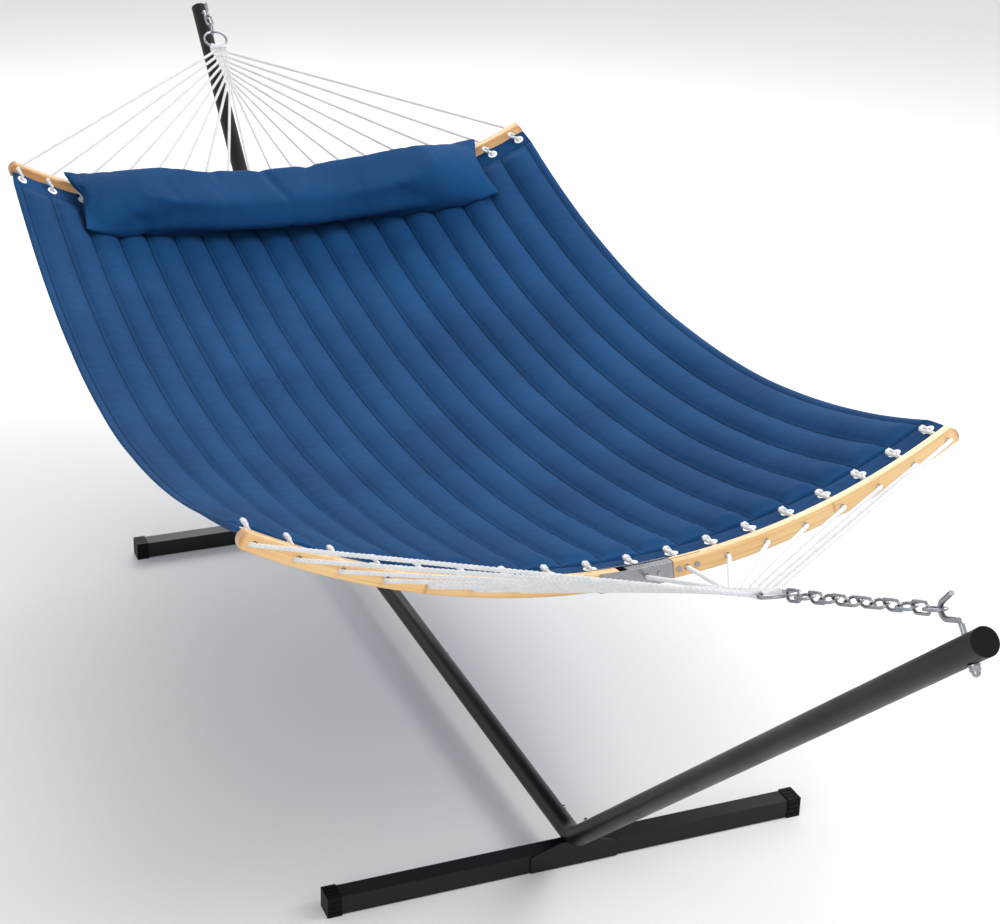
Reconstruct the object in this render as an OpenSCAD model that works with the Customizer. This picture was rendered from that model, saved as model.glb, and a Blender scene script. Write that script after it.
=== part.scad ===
// Quilted double hammock with curved folding spreader bars, hung on a steel tube stand.
// X runs along the hammock, Y across it, Z up. The origin is on the floor under the middle.

/* [Stand] */
// Distance between the centre lines of the two cross bars
bar_spacing = 1522; // [1200:1:1700]
// Length of a cross bar over its end caps
cross_bar_l = 980; // [800:1:1250]
// Outside width of the square cross bar tube
square_w = 38; // [34:1:46]
// Wall of the square tube
square_wall = 1.5; // [1.2:0.1:2.5]
// Outside diameter of the round tubes
tube_d = 40; // [36:1:48]
// Wall of the round tubes
tube_wall = 1.5; // [1.2:0.1:2]
// Rise of the arms above the horizontal, in degrees
arm_angle = 42; // [36:1:46]
// Length of an arm from the middle of the elbow bend to its open end
arm_l = 1530; // [1300:1:1700]
// Distance of the elbow's bend point outside its cross bar
elbow_out = 16; // [10:1:24]
// Radius of the elbow's bend, at the middle of the tube
bend_r = 90; // [80:1:110]
// Length of the straight spigots that plug one tube into the next
spigot_l = 90; // [70:1:110]
// Gap all round a spigot inside its tube
spigot_gap = 0.1; // [0.05:0.01:0.15]
// Depth of the weld between the elbow and the cross bar's wall
elbow_sink = 1.2; // [0.8:0.1:1.4]
// Height of the front web plate above the cross bar
web_h = 17; // [12:1:20]
// Half width of the web plate along the cross bar
web_half_w = 90; // [60:1:110]
// Thickness of the web plate
web_t = 3; // [2:0.5:4]
// Length of an end cap along the cross bar
cap_l = 28; // [22:1:36]
// Wall of an end cap
cap_wall = 2; // [1.5:0.1:3]

/* [Snap buttons] */
// Diameter of a snap button
button_d = 10; // [8:0.5:12]
// Height of a button above its tube
button_h = 5; // [4:0.5:6]
// Radial gap between a button and its hole
button_gap = 0.1; // [0.05:0.01:0.15]
// Distance of a button from the joint that it locks
button_in = 40; // [30:1:50]

/* [Hooks and chains] */
// Diameter of the hook rod
hook_d = 8; // [7:0.5:9]
// Distance of the hook from the open end of its arm
hook_in = 40; // [32:1:60]
// Radius of the seat that the chain hangs in, at the middle of the rod
seat_r = 12; // [11:0.5:15]
// Diameter of the chain wire
chain_wire = 5; // [4:0.5:5.5]
// Inside length of a chain link
link_inside = 34; // [30:1:38]
// Inside width of a chain link
link_gap_w = 12; // [11:0.5:13]
// Number of links in the near chain
near_links = 12; // [8:2:14]
// Number of links in the far chain
far_links = 2; // [2:2:4]
// Diameter of the ring wire
ring_wire = 6; // [5:0.5:8]
// Twist of the middle of the chain, in degrees
chain_twist = 32; // [0:1:40]
// Outside diameter of a ring
ring_od = 66; // [56:1:80]
// Gap between metal pieces that hang in each other
hang_gap = 0.4; // [0.3:0.05:0.6]

/* [Spreader bars] */
// Length of a spreader bar along its curve
spreader_l = 1390; // [1150:1:1500]
// Radius of the bar's curve
spreader_r = 1355; // [1200:1:1700]
// Height of the bar's section
spreader_h = 33; // [28:1:38]
// Thickness of the bar's section
spreader_t = 24; // [20:1:28]
// Radius of the bar's long edges
spreader_edge = 4; // [2:0.5:6]
// Outward tilt of the bar's lowest point, in degrees
spreader_tilt = 8.8; // [0:0.1:15]
// Number of rope holes in a bar
hole_count = 18; // [14:2:20]
// Distance of the first hole from the end of the bar
hole_in = 25; // [20:1:40]
// Diameter of a rope hole
hole_d = 10; // [9:0.5:12]
// Distance of the near bar's ends from the middle of the stand
near_bar_x = 889; // [800:1:950]
// Height of the near bar's ends above the floor
near_bar_z = 853; // [800:1:900]
// Distance of the far bar's ends from the middle of the stand
far_bar_x = 1161; // [1050:1:1220]
// Height of the far bar's ends above the floor
far_bar_z = 886; // [830:1:930]

/* [Fold joint] */
// Half length of the steel channel along the bar
channel_half = 90; // [70:1:110]
// Thickness of the channel's sheet
channel_t = 1.5; // [1:0.1:2.5]
// Gap between the wood and the channel
channel_gap = 0.3; // [0.2:0.05:0.5]
// Diameter of the fold pin and of the rivets
pin_d = 6; // [5:0.5:7]

/* [Ropes and woven end] */
// Diameter of a rope
rope_d = 7; // [5:0.5:8]
// Length of the woven wedge below the ring
weave_l = 175; // [140:1:210]
// Width of the woven wedge at the ring
weave_w = 46; // [36:1:56]
// Thickness of the woven wedge
weave_t = 11; // [8:0.5:14]

/* [Bed] */
// Width of the quilted bed along its cross curve
bed_w = 1386; // [1150:1:1500]
// Thickness of the quilt
quilt_t = 16; // [10:1:24]
// Sag of the bed's edges below the line between the bars
bed_sag = 185; // [120:1:240]
// Depth of the trough across the middle of the bed
trough = 120; // [60:1:170]
// Width of the plain hem at each end
hem_w = 52; // [44:1:60]
// Thickness of the hem
hem_t = 4; // [3:0.5:6]
// Gap between a spreader bar and the hem
hem_gap = 13; // [8:0.5:18]
// Fall of the near hem away from the bar's own plane, in degrees
near_hem_slope = 2; // [0:1:15]
// Fall of the far hem away from the bar's own plane, in degrees
far_hem_slope = 12; // [5:1:15]
// Height of the near hem's edge above the middle of the bar
near_hem_up = 5; // [0:0.5:7]
// Height of the far hem's edge above the middle of the bar
far_hem_up = 0; // [-4:0.5:7]
// Outside diameter of an eyelet
eyelet_od = 24; // [20:1:28]
// Bore of an eyelet
eyelet_id = 13; // [11:0.5:14]
// Distance of the eyelets from the edge of the hem
eyelet_in = 22; // [18:1:26]

/* [Pillow] */
// Length of the pillow across the bed
pillow_l = 1150; // [950:1:1250]
// Width of the pillow along the bed
pillow_w = 250; // [200:1:320]
// Thickness of the pillow
pillow_t = 80; // [60:1:110]
// Distance of the pillow's middle from the far bar
pillow_from_bar = 68; // [50:1:150]
// Height of the pillow's underside over the top of the bar
pillow_lift = 16; // [6:1:30]
// Lean of the pillow's curve in over the bed, in degrees
pillow_lean = 28; // [0:1:40]
// Radius of the pillow's curve, in radii of the bar's curve
pillow_flatter = 1.05; // [1:0.05:1.4]

/* [Hidden] */

$fn = 48;
tiny = 0.01;
steel_black = "#202022";
zinc = "#c9ccd0";
bamboo = "#d9a866";
rope_white = "#f2f2f0";
fabric_blue = "#2a5a92";

// ---- stand values
cap_w = square_w + 2*cap_wall;
cap_end = 3;
square_z = cap_w/2;
beam_z = cap_wall + square_w + tube_d/2 - elbow_sink;
bar_x = bar_spacing/2;
elbow_x = bar_x + elbow_out;
tube_id = tube_d - 2*tube_wall;
spigot_d = tube_id - 2*spigot_gap;
spigot_id = spigot_d - 2*tube_wall;
shoulder = 8;
bend_leg = bend_r*tan(arm_angle/2);
joint_at = bend_leg + shoulder;
arm_split = arm_l/2;
plug_t = 3;
// the beam's outer buttons sit between its top and its +Y side
beam_turn = -45;
tip_x = elbow_x + arm_l*cos(arm_angle);
tip_z = beam_z + arm_l*sin(arm_angle);

// ---- hook values: headings are in degrees, turning from +X to +Z
hook_bore = hook_d + 0.2;
washer_t = 1.6;
nut_af = 13;
nut_h = 6.5;
stem_heading = 90 + arm_angle;
run_heading = stem_heading + 73;
tip_heading = run_heading - 154;
neck_r = 8;
run_l = 24;
tip_l = 26;
foot = [tip_x - hook_in*cos(arm_angle), tip_z - hook_in*sin(arm_angle)];
function ahead(p, heading, l) = p + l*[cos(heading), sin(heading)];
function left_turn(p, r, h0, h1) = ahead(ahead(p, h0 + 90, r), h1 - 90, r);
function right_turn(p, r, h0, h1) = ahead(ahead(p, h0 - 90, r), h1 + 90, r);
stem_end = ahead(foot, stem_heading, tube_d/2 + 12);
run_start = left_turn(stem_end, neck_r, stem_heading, run_heading);
run_end = ahead(run_start, run_heading, run_l);
seat_centre = ahead(run_end, run_heading - 90, seat_r);
tip_start = right_turn(run_end, seat_r, run_heading, tip_heading);

// ---- spreader bar values
half_arc = spreader_l/2/spreader_r*180/PI;
hole_pitch = (spreader_l - 2*hole_in)/(hole_count - 1);
function hole_at(i) = -spreader_l/2 + hole_in + i*hole_pitch;
function arc_deg(s) = s/spreader_r*180/PI;
end_round = 0.6*spreader_h;
left_wood_end = -10;
channel_start = -48;
rivet_at = [-27, -16];
tongue_start = 8;
tongue_end = 150;
right_wood_start = channel_half + 3;
fold_pin_at = 65;

// One end of the hammock: bar's ends, height, links in its chain, fall and height of its hem
near_end = [near_bar_x, near_bar_z, near_links, near_hem_slope, near_hem_up];
far_end = [far_bar_x, far_bar_z, far_links, far_hem_slope, far_hem_up];

// A point near the bar: s along its curve, out towards the ring, up towards the curve's centre
function bar_pt(e, s, out, up) = let(
    rr = spreader_r - up,
    z = spreader_r*cos(half_arc) - rr*cos(arc_deg(s)))
  [e[0] + out*cos(spreader_tilt) - z*sin(spreader_tilt), rr*sin(arc_deg(s)),
   e[1] + z*cos(spreader_tilt) + out*sin(spreader_tilt)];

// ---- the line that chain, ring, woven wedge and middle ropes hang along
function xz(p) = [p[0], p[2]];
function pull_to(e) = xz(bar_pt(e, 0, spreader_t/2, 0));
function pull_len(e) = norm(pull_to(e) - seat_centre);
function pull_dir(e) = (pull_to(e) - seat_centre)/pull_len(e);
function pull_angle(e) = atan2(-pull_dir(e)[1], -pull_dir(e)[0]);
link_r = (link_gap_w + chain_wire)/2;
link_l = link_inside + chain_wire;
link_step = link_l - chain_wire - hang_gap;
first_apex = seat_r - (hook_d + chain_wire)/2 - 2*hang_gap;
ring_r = (ring_od - ring_wire)/2;
function last_apex(e) = first_apex + link_l + (e[2] - 1)*link_step;
function ring_at(e) = last_apex(e) - (chain_wire + ring_wire)/2 - hang_gap + ring_r;
// a point on that line: d along it from the seat's centre, y across it, n square to it
function line_pt(e, d, y, n) = let(a = pull_angle(e))
  [seat_centre[0] - d*cos(a) - n*sin(a), y, seat_centre[1] - d*sin(a) + n*cos(a)];

// ---- ropes
weave_root = ring_r + ring_wire/2;
weave_tip_w = 6;
rope_clear = rope_d/2 + 0.4;
function weave_half(d) = weave_w/2 - (weave_w - weave_tip_w)/2*d/weave_l;
function rope_rank(i) = min(i, hole_count - 1 - i)/(hole_count/2 - 1);
function side(i) = i < hole_count/2 ? -1 : 1;
function rope_start(e, i) = let(d = 14 + rope_rank(i)*(weave_l - 16))
  line_pt(e, ring_at(e) + weave_root + d, side(i)*(weave_half(d) + rope_clear), 0);
hem_edge = -spreader_t/2 - hem_gap;
function hem_pt(e, s, inward, up) = bar_pt(e, s, hem_edge - inward*cos(e[3]) + up*sin(e[3]),
  e[4] - inward*sin(e[3]) + up*cos(e[3]));
rope_over = hem_t/2 + rope_d/2 + 1.4;
rope_end = eyelet_in;
function rope_route(e, i) = let(s = hole_at(i)) [
  rope_start(e, i),
  bar_pt(e, s, spreader_t/2 + 7, 0),
  bar_pt(e, s, spreader_t/2 + 1, 0),
  bar_pt(e, s, -spreader_t/2 - 1.5, 0),
  hem_pt(e, s, -5, rope_over - 3),
  hem_pt(e, s, 3, rope_over + 1),
  hem_pt(e, s, rope_end - 6, rope_over + 2),
  hem_pt(e, s, rope_end - 0.5, rope_over - 0.5),
  hem_pt(e, s, rope_end, 0),
  hem_pt(e, s, rope_end, -hem_t/2 - 3),
  hem_pt(e, s, rope_end, -hem_t/2 - 11)];
// thickness along the route: full, and a knot below the eyelet
rope_sizes = [1, 1, 1, 1, 1, 1, 1, 1, 1, 1.1, 2.2];

// ---- bed
bed_half = bed_w/2;
trough_a = 4*trough/bed_w + pow(4*trough/bed_w, 3)/12;
trough_r = bed_half/trough_a;
trough_deg = trough_a*180/PI;
hem_inner = hem_w + 1.4;
function near_hem(v) = hem_pt(near_end, v*bed_half, hem_inner, 0);
function far_hem(v) = let(p = hem_pt(far_end, v*bed_half, hem_inner, 0)) [-p[0], p[1], p[2]];
function bed_pt(u, v, up) = let(
    w = 4*u*(1 - u),
    base = (1 - u)*far_hem(v) + u*near_hem(v),
    rim = (1 - u)*far_hem(1)[2] + u*near_hem(1)[2],
    my = trough_r*sin(trough_deg*v),
    mz = rim - trough_r*(cos(trough_deg*v) - cos(trough_deg)))
  [base[0], (1 - w)*base[1] + w*my, (1 - w)*base[2] + w*mz - bed_sag*w + up];

// ---- helper shapes
// straight pieces run a little way into the bends, which are a hair thicker
into = 0.4;
hair = 0.04;

module rod(p, heading, l, d) {
  translate([p[0], 0, p[1]]) rotate([0, 90 - heading, 0])
    translate([0, 0, -into]) cylinder(d = d, h = l + 2*into);
}

module rod_left(p, r, h0, h1, d) {
  c = ahead(p, h0 + 90, r);
  translate([c[0], 0, c[1]]) rotate([90, 0, 0]) rotate([0, 0, h0 - 90])
    rotate_extrude(angle = h1 - h0) translate([r, 0]) circle(d = d + hair);
}

module rod_right(p, r, h0, h1, d) {
  c = ahead(p, h0 - 90, r);
  translate([c[0], 0, c[1]]) rotate([90, 0, 0]) rotate([0, 0, h1 + 90])
    rotate_extrude(angle = h0 - h1) translate([r, 0]) circle(d = d + hair);
}

module tube(l, od, id) {
  difference() {
    cylinder(d = od, h = l);
    translate([0, 0, -1]) cylinder(d = id, h = l + 2);
  }
}

module rounded(w, h, r) {
  square([w - 2*r, h], center = true);
  square([w, h - 2*r], center = true);
  for (x = [-1, 1], y = [-1, 1]) translate([x*(w/2 - r), y*(h/2 - r)]) circle(r);
}

// the frame of an arm: z along the arm from the elbow's bend point, x down and outward
module on_arm() {
  translate([elbow_x, 0, beam_z]) rotate([0, 90 - arm_angle, 0]) children();
}

// the frame of the beam's near half: z along +X
module on_beam(x) {
  translate([x, 0, beam_z]) rotate([0, 90, 0]) children();
}

module far() {
  mirror([1, 0, 0]) children();
}

// ---- stand
module base_frame() {
  bore = [cross_bar_l, square_w - 2*square_wall];
  color(steel_black) difference() {
    union() {
      translate([bar_x - square_w/2, -cross_bar_l/2 + cap_end, cap_wall])
        cube([square_w, cross_bar_l - 2*cap_end, square_w]);
      translate([bar_x + square_w/2 - tiny, 0, cap_wall]) rotate([90, 0, 90])
        linear_extrude(web_t) polygon([[-web_half_w, 0], [web_half_w, 0],
          [web_half_w, square_w - 3], [tube_d*0.7, square_w + web_h],
          [-tube_d*0.7, square_w + web_h], [-web_half_w, square_w - 3]]);
      on_beam(elbow_x - joint_at) cylinder(d = tube_d, h = shoulder + into);
      on_beam(elbow_x - joint_at - spigot_l) cylinder(d = spigot_d, h = spigot_l + into);
      rod_left([elbow_x - bend_leg, beam_z], bend_r, 0, arm_angle, tube_d);
      on_arm() translate([0, 0, bend_leg - into]) cylinder(d = tube_d, h = shoulder + into);
      on_arm() translate([0, 0, joint_at - into]) cylinder(d = spigot_d, h = spigot_l + into);
    }
    translate([bar_x - bore[1]/2, -bore[0]/2, cap_wall + square_wall])
      cube([bore[1], bore[0], bore[1]]);
    on_beam(elbow_x - joint_at - spigot_l - 1)
      cylinder(d = spigot_id, h = spigot_l + shoulder + 1 + into);
    rod_left([elbow_x - bend_leg, beam_z], bend_r, 0, arm_angle, spigot_id);
    on_arm() translate([0, 0, bend_leg - into])
      cylinder(d = spigot_id, h = spigot_l + shoulder + 2);
    beam_button_hole(elbow_x - joint_at - button_in, beam_turn);
    arm_button_hole(joint_at + button_in, 0);
  }
}

module near_base_frame() { base_frame(); }
module far_base_frame() { far() base_frame(); }

// a cap over the end of a cross bar, with grooves along its faces
module bar_cap(side) {
  groove = 2.4;
  color("#1a1a1b") translate([bar_x, side*cross_bar_l/2, square_z]) difference() {
    translate([-cap_w/2, side > 0 ? -cap_l : 0, -cap_w/2]) cube([cap_w, cap_l, cap_w]);
    translate([-square_w/2 - 0.1, side > 0 ? -cap_l - 1 : cap_end, -square_w/2 - 0.1])
      cube([square_w + 0.2, cap_l + 1 - cap_end, square_w + 0.2]);
    for (turn = [0:3], k = [-1:1]) rotate([0, 90*turn, 0])
      translate([k*cap_w/4 - groove/2, side > 0 ? -cap_l - 1 : 4, cap_w/2 - 0.9])
        cube([groove, cap_l - 3, 2]);
  }
}

module near_left_cap() { bar_cap(-1); }
module near_right_cap() { bar_cap(1); }
module far_left_cap() { far() bar_cap(-1); }
module far_right_cap() { far() bar_cap(1); }

module button_hole() {
  translate([0, 0, tube_d/4]) cylinder(d = button_d + 2*button_gap, h = tube_d/2);
}

// turn 0 puts the button on top of the tube, turn -90 on its +Y side
module beam_button_hole(x, turn) {
  translate([x, 0, beam_z]) rotate([turn, 0, 0]) button_hole();
}

module arm_button_hole(along, turn) {
  on_arm() translate([0, 0, along]) rotate([0, -90, 0]) rotate([turn, 0, 0]) button_hole();
}

module near_beam() {
  l = elbow_x - joint_at;
  color(steel_black) difference() {
    on_beam(0) tube(l, tube_d, tube_id);
    beam_button_hole(l - button_in, beam_turn);
    beam_button_hole(button_in, -90);
  }
}

// the far half carries the spigot that plugs into the near half
module far_beam() {
  l = elbow_x - joint_at;
  color(steel_black) difference() {
    union() {
      on_beam(-l) cylinder(d = tube_d, h = l);
      on_beam(-tiny) cylinder(d = spigot_d, h = spigot_l + tiny);
    }
    on_beam(-l - 1) cylinder(d = tube_id, h = l - 8);
    on_beam(-10) cylinder(d = spigot_id, h = spigot_l + 12);
    beam_button_hole(-l + button_in, beam_turn);
    beam_button_hole(button_in, -90);
  }
}

// the lower section slides over the elbow and carries a spigot at its top
module lower_arm() {
  l = arm_split - joint_at;
  color(steel_black) difference() {
    on_arm() union() {
      translate([0, 0, joint_at]) cylinder(d = tube_d, h = l);
      translate([0, 0, arm_split - tiny]) cylinder(d = spigot_d, h = spigot_l + tiny);
    }
    on_arm() translate([0, 0, joint_at - 1]) cylinder(d = tube_id, h = l - 8);
    on_arm() translate([0, 0, arm_split - 10]) cylinder(d = spigot_id, h = spigot_l + 12);
    arm_button_hole(joint_at + button_in, 0);
    arm_button_hole(arm_split + button_in, -90);
  }
}

module upper_arm() {
  color(steel_black) difference() {
    on_arm() translate([0, 0, arm_split])
      tube(arm_l - plug_t - arm_split, tube_d, tube_id);
    on_arm() translate([-tube_d, 0, arm_l - hook_in]) rotate([0, 90, 0])
      cylinder(d = hook_bore, h = 2*tube_d);
    arm_button_hole(arm_split + button_in, -90);
  }
}

module near_lower_arm() { lower_arm(); }
module far_lower_arm() { far() lower_arm(); }
module near_upper_arm() { upper_arm(); }
module far_upper_arm() { far() upper_arm(); }

module arm_plug() {
  depth = 18;
  color("#161617") on_arm() difference() {
    union() {
      translate([0, 0, arm_l - plug_t]) cylinder(d = tube_d, h = plug_t);
      translate([0, 0, arm_l - plug_t - depth]) cylinder(d = tube_id - 0.1, h = depth + tiny);
    }
    translate([0, 0, arm_l - plug_t - depth - 1]) cylinder(d = tube_id - 6, h = depth + 1);
  }
}

module near_arm_plug() { arm_plug(); }
module far_arm_plug() { far() arm_plug(); }

// a snap button with its V spring: z points out of the tube, x along it
module snap_button() {
  flange_r = button_d/2 + 1.5;
  flange_z = sqrt(pow(spigot_id/2 - 0.3, 2) - flange_r*flange_r);
  spring_w = 7;
  spring_l = 40;
  low = -spigot_id/2 + button_h + 1.2;
  color(zinc) {
    translate([0, 0, flange_z - 1.2]) cylinder(r = flange_r, h = 1.2);
    cylinder_top = tube_d/2 + button_h - button_d/2;
    translate([0, 0, flange_z - tiny]) cylinder(d = button_d, h = cylinder_top - flange_z + tiny);
    translate([0, 0, cylinder_top]) difference() {
      sphere(d = button_d);
      translate([-button_d, -button_d, -2*button_d]) cube(2*button_d);
    }
    translate([0, spring_w/2, 0]) rotate([90, 0, 0]) linear_extrude(spring_w)
      polygon([[-5, flange_z - 1], [5, flange_z - 1], [spring_l, 1.5], [spring_l + 1.2, 0],
        [spring_l, -1.5], [5, low], [-3, low], [-3, low + 1], [4.6, low + 1],
        [spring_l - 4, 0], [4.6, flange_z - 2], [-5, flange_z - 2]]);
  }
}

module beam_button(x, turn) {
  translate([x, 0, beam_z]) rotate([turn, 0, 0]) snap_button();
}

module arm_button(along, turn) {
  on_arm() translate([0, 0, along]) rotate([0, -90, 0]) rotate([turn, 0, 0]) snap_button();
}

module near_beam_button() { beam_button(elbow_x - joint_at - button_in, beam_turn); }
module mid_beam_button() { beam_button(button_in, -90); }
module far_beam_button() { far() beam_button(elbow_x - joint_at - button_in, beam_turn); }
module near_arm_button() { arm_button(joint_at + button_in, 0); }
module far_arm_button() { far() arm_button(joint_at + button_in, 0); }
module near_mid_arm_button() { arm_button(arm_split + button_in, -90); }
module far_mid_arm_button() { far() arm_button(arm_split + button_in, -90); }

// ---- hooks
module hook() {
  below = tube_d/2 + washer_t + 7;
  color(zinc) {
    rod(ahead(foot, stem_heading, -below), stem_heading, below + tube_d/2 + 12, hook_d);
    rod_left(stem_end, neck_r, stem_heading, run_heading, hook_d);
    rod(run_start, run_heading, run_l, hook_d);
    rod_right(run_end, seat_r, run_heading, tip_heading, hook_d);
    rod(tip_start, tip_heading, tip_l, hook_d);
  }
}

// washer and domed nut on the hook's threaded end, under the arm
module hook_fastener() {
  color(zinc) on_arm() translate([tube_d/2 + 0.1, 0, arm_l - hook_in]) rotate([0, 90, 0]) {
    tube(washer_t, 18, hook_bore);
    translate([0, 0, washer_t + 0.1]) difference() {
      union() {
        cylinder(d = nut_af/cos(30), h = nut_h, $fn = 6);
        translate([0, 0, nut_h - tiny]) cylinder(d = nut_af - 1, h = 2);
        translate([0, 0, nut_h + 2 - tiny]) difference() {
          sphere(d = nut_af - 1);
          translate([-nut_af, -nut_af, -2*nut_af]) cube(2*nut_af);
        }
      }
      translate([0, 0, -1]) cylinder(d = hook_bore, h = nut_h + 2);
    }
  }
}

module near_hook() { hook(); }
module far_hook() { far() hook(); }
module near_hook_fastener() { hook_fastener(); }
module far_hook_fastener() { far() hook_fastener(); }

// ---- chain, ring and woven wedge: x runs along the pull line, y across, z square to both
module on_line(e) {
  a = pull_angle(e);
  translate([seat_centre[0], 0, seat_centre[1]]) rotate([0, 180 - a, 0]) mirror([0, 0, 1])
    children();
}

module link() {
  straight = link_l - 2*link_r;
  for (y = [-1, 1]) translate([-straight/2, y*link_r, 0]) rotate([0, 90, 0])
    cylinder(d = chain_wire, h = straight);
  for (s = [0, 180]) rotate([0, 0, s]) translate([straight/2, 0, 0]) rotate([0, 0, -90])
    rotate_extrude(angle = 180) translate([link_r, 0]) circle(d = chain_wire);
}

module chain(e) {
  color(zinc) on_line(e) for (i = [0:e[2] - 1])
    translate([first_apex + link_l/2 + i*link_step, 0, 0])
      rotate([90*(i % 2) + chain_twist*sin(180*i/(e[2] - 1)), 0, 0]) link();
}

module ring(e) {
  color(zinc) on_line(e) translate([ring_at(e), 0, 0])
    rotate_extrude() translate([ring_r, 0]) circle(d = ring_wire);
}

// the ropes woven into a flat wedge, with a sleeve of rope round the ring
module weave(e) {
  reach = 40;
  color(rope_white) on_line(e) translate([ring_at(e), 0, 0]) difference() {
    union() {
      rotate([0, 0, -reach]) rotate_extrude(angle = 2*reach) translate([ring_r, 0])
        circle(d = ring_wire + 2*weave_t/3);
      translate([0, 0, -weave_t/2]) linear_extrude(weave_t)
        polygon([[ring_r*cos(reach), -weave_w/2 + 1], [weave_root + 4, -weave_w/2],
          [weave_root + weave_l, -weave_tip_w/2], [weave_root + weave_l, weave_tip_w/2],
          [weave_root + 4, weave_w/2], [ring_r*cos(reach), weave_w/2 - 1]]);
    }
    translate([0, 0, -weave_t]) cylinder(r = ring_r - ring_wire/2 - weave_t/3, h = 2*weave_t);
    rotate_extrude() translate([ring_r, 0]) circle(d = ring_wire + 0.6);
  }
}

// a rope swept along its route: an octagon at each point, square to the route there
function unit(v) = v/norm(v);
function heading_at(pts, i) = unit(pts[min(i + 1, len(pts) - 1)] - pts[max(i - 1, 0)]);
module rope(pts, d, sizes) {
  n = 8;
  verts = [for (i = [0:len(pts) - 1]) let(
      t = heading_at(pts, i),
      a = unit(cross(t, [0, 1, 0])),
      b = cross(t, a))
    for (k = [0:n - 1]) pts[i] + d/2*sizes[i]*(cos(360*k/n)*a + sin(360*k/n)*b)];
  last = (len(pts) - 1)*n;
  sides = [for (i = [0:len(pts) - 2], k = [0:n - 1])
    [i*n + k, i*n + (k + 1) % n, (i + 1)*n + (k + 1) % n, (i + 1)*n + k]];
  polyhedron(verts, concat([[for (k = [n - 1:-1:0]) k]], sides, [[for (k = [0:n - 1]) last + k]]));
}

module ropes(e) {
  color(rope_white) for (i = [0:hole_count - 1]) rope(rope_route(e, i), rope_d, rope_sizes);
}

module near_chain() { chain(near_end); }
module far_chain() { far() chain(far_end); }
module near_ring() { ring(near_end); }
module far_ring() { far() ring(far_end); }
module near_weave() { weave(near_end); }
module far_weave() { far() weave(far_end); }
module near_ropes() { ropes(near_end); }
module far_ropes() { far() ropes(far_end); }

// ---- spreader bars
// the bar's own frame: x square to its curve, the curve's centre straight above the origin
module on_bar(e) {
  translate([e[0], 0, e[1]]) rotate([0, -spreader_tilt, 0]) children();
}

// the frame at a point along the bar's curve: y along the bar, z towards the curve's centre
module at_arc(s) {
  translate([0, 0, spreader_r*cos(half_arc)]) rotate([arc_deg(s), 0, 0])
    translate([0, 0, -spreader_r]) children();
}

// a section swept along the bar's curve: profile x is away from the centre, y towards the ring
module arc_sweep(s0, s1) {
  translate([0, 0, spreader_r*cos(half_arc)]) rotate([0, 90, 0]) rotate([0, 0, arc_deg(s0)])
    rotate_extrude(angle = arc_deg(s1 - s0)) translate([spreader_r, 0]) children();
}

module rope_holes(margin) {
  for (i = [0:hole_count - 1]) at_arc(hole_at(i)) translate([-spreader_t, 0, 0])
    rotate([0, 90, 0]) cylinder(d = hole_d + margin, h = 2*spreader_t);
}

module pin_holes(places, d) {
  for (s = places) at_arc(s) translate([-spreader_t, 0, 0]) rotate([0, 90, 0])
    cylinder(d = d, h = 2*spreader_t);
}

// what is cut from a bar's end to round it
module end_cut(end, way) {
  at_arc(end) translate([-spreader_t, 0, 0]) difference() {
    translate([0, way > 0 ? -end_round : -5, -spreader_h])
      cube([2*spreader_t, end_round + 5, 2*spreader_h]);
    translate([-1, -way*end_round, 0]) rotate([0, 90, 0])
      cylinder(r = end_round, h = 2*spreader_t + 2);
  }
}

// half of a bar from s0 to s1, with its outer end rounded
module bar_half(e, s0, s1) {
  way = s0 < 0 ? -1 : 1;
  color(bamboo) on_bar(e) difference() {
    arc_sweep(s0 - (way < 0 ? 2 : 0), s1 + (way > 0 ? 2 : 0))
      rounded(spreader_h, spreader_t, spreader_edge);
    end_cut(way < 0 ? s0 : s1, way);
    rope_holes(0);
    pin_holes(rivet_places, pin_d + 0.2);
    if (way > 0) arc_sweep(s0 - 1, tongue_end + 1) square([spreader_h + 2, 3.6], center = true);
  }
}

rivet_places = concat(rivet_at, [right_wood_start + 10, tongue_end - 12]);

module channel(e) {
  inner_t = spreader_t + 2*channel_gap;
  wall_h = spreader_h + channel_t;
  color(zinc) on_bar(e) difference() {
    arc_sweep(channel_start, channel_half) difference() {
      translate([channel_t/2 + channel_gap/2, 0])
        square([wall_h + channel_gap, inner_t + 2*channel_t], center = true);
      translate([-1, 0]) square([spreader_h + 2 + channel_gap, inner_t], center = true);
    }
    rope_holes(0.4);
    pin_holes(concat(rivet_at, [fold_pin_at]), pin_d + 0.2);
  }
}

// the steel tongue of the right half: a block in the channel and a blade in the wood
module tongue(e) {
  color("#8d9196") on_bar(e) difference() {
    union() {
      arc_sweep(tongue_start, right_wood_start - 0.3)
        square([spreader_h - 3, spreader_t - 0.6], center = true);
      arc_sweep(right_wood_start - 1, tongue_end) square([spreader_h - 3, 3], center = true);
    }
    rope_holes(0.4);
    pin_holes([fold_pin_at, right_wood_start + 10, tongue_end - 12], pin_d + 0.2);
  }
}

// the fold pin and the rivets, with flat heads
module fold_pins(e) {
  wide = spreader_t/2 + channel_gap + channel_t + 0.1;
  narrow = spreader_t/2 + 0.1;
  head_t = 1.5;
  color(zinc) on_bar(e) for (p = [[fold_pin_at, wide], [rivet_at[0], wide], [rivet_at[1], wide],
      [right_wood_start + 10, narrow], [tongue_end - 12, narrow]])
    at_arc(p[0]) rotate([0, 90, 0]) {
      translate([0, 0, -p[1]]) cylinder(d = pin_d, h = 2*p[1]);
      for (m = [0, 180]) rotate([m, 0, 0]) translate([0, 0, p[1] - tiny])
        cylinder(d = pin_d + 4, h = head_t);
    }
}

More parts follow.
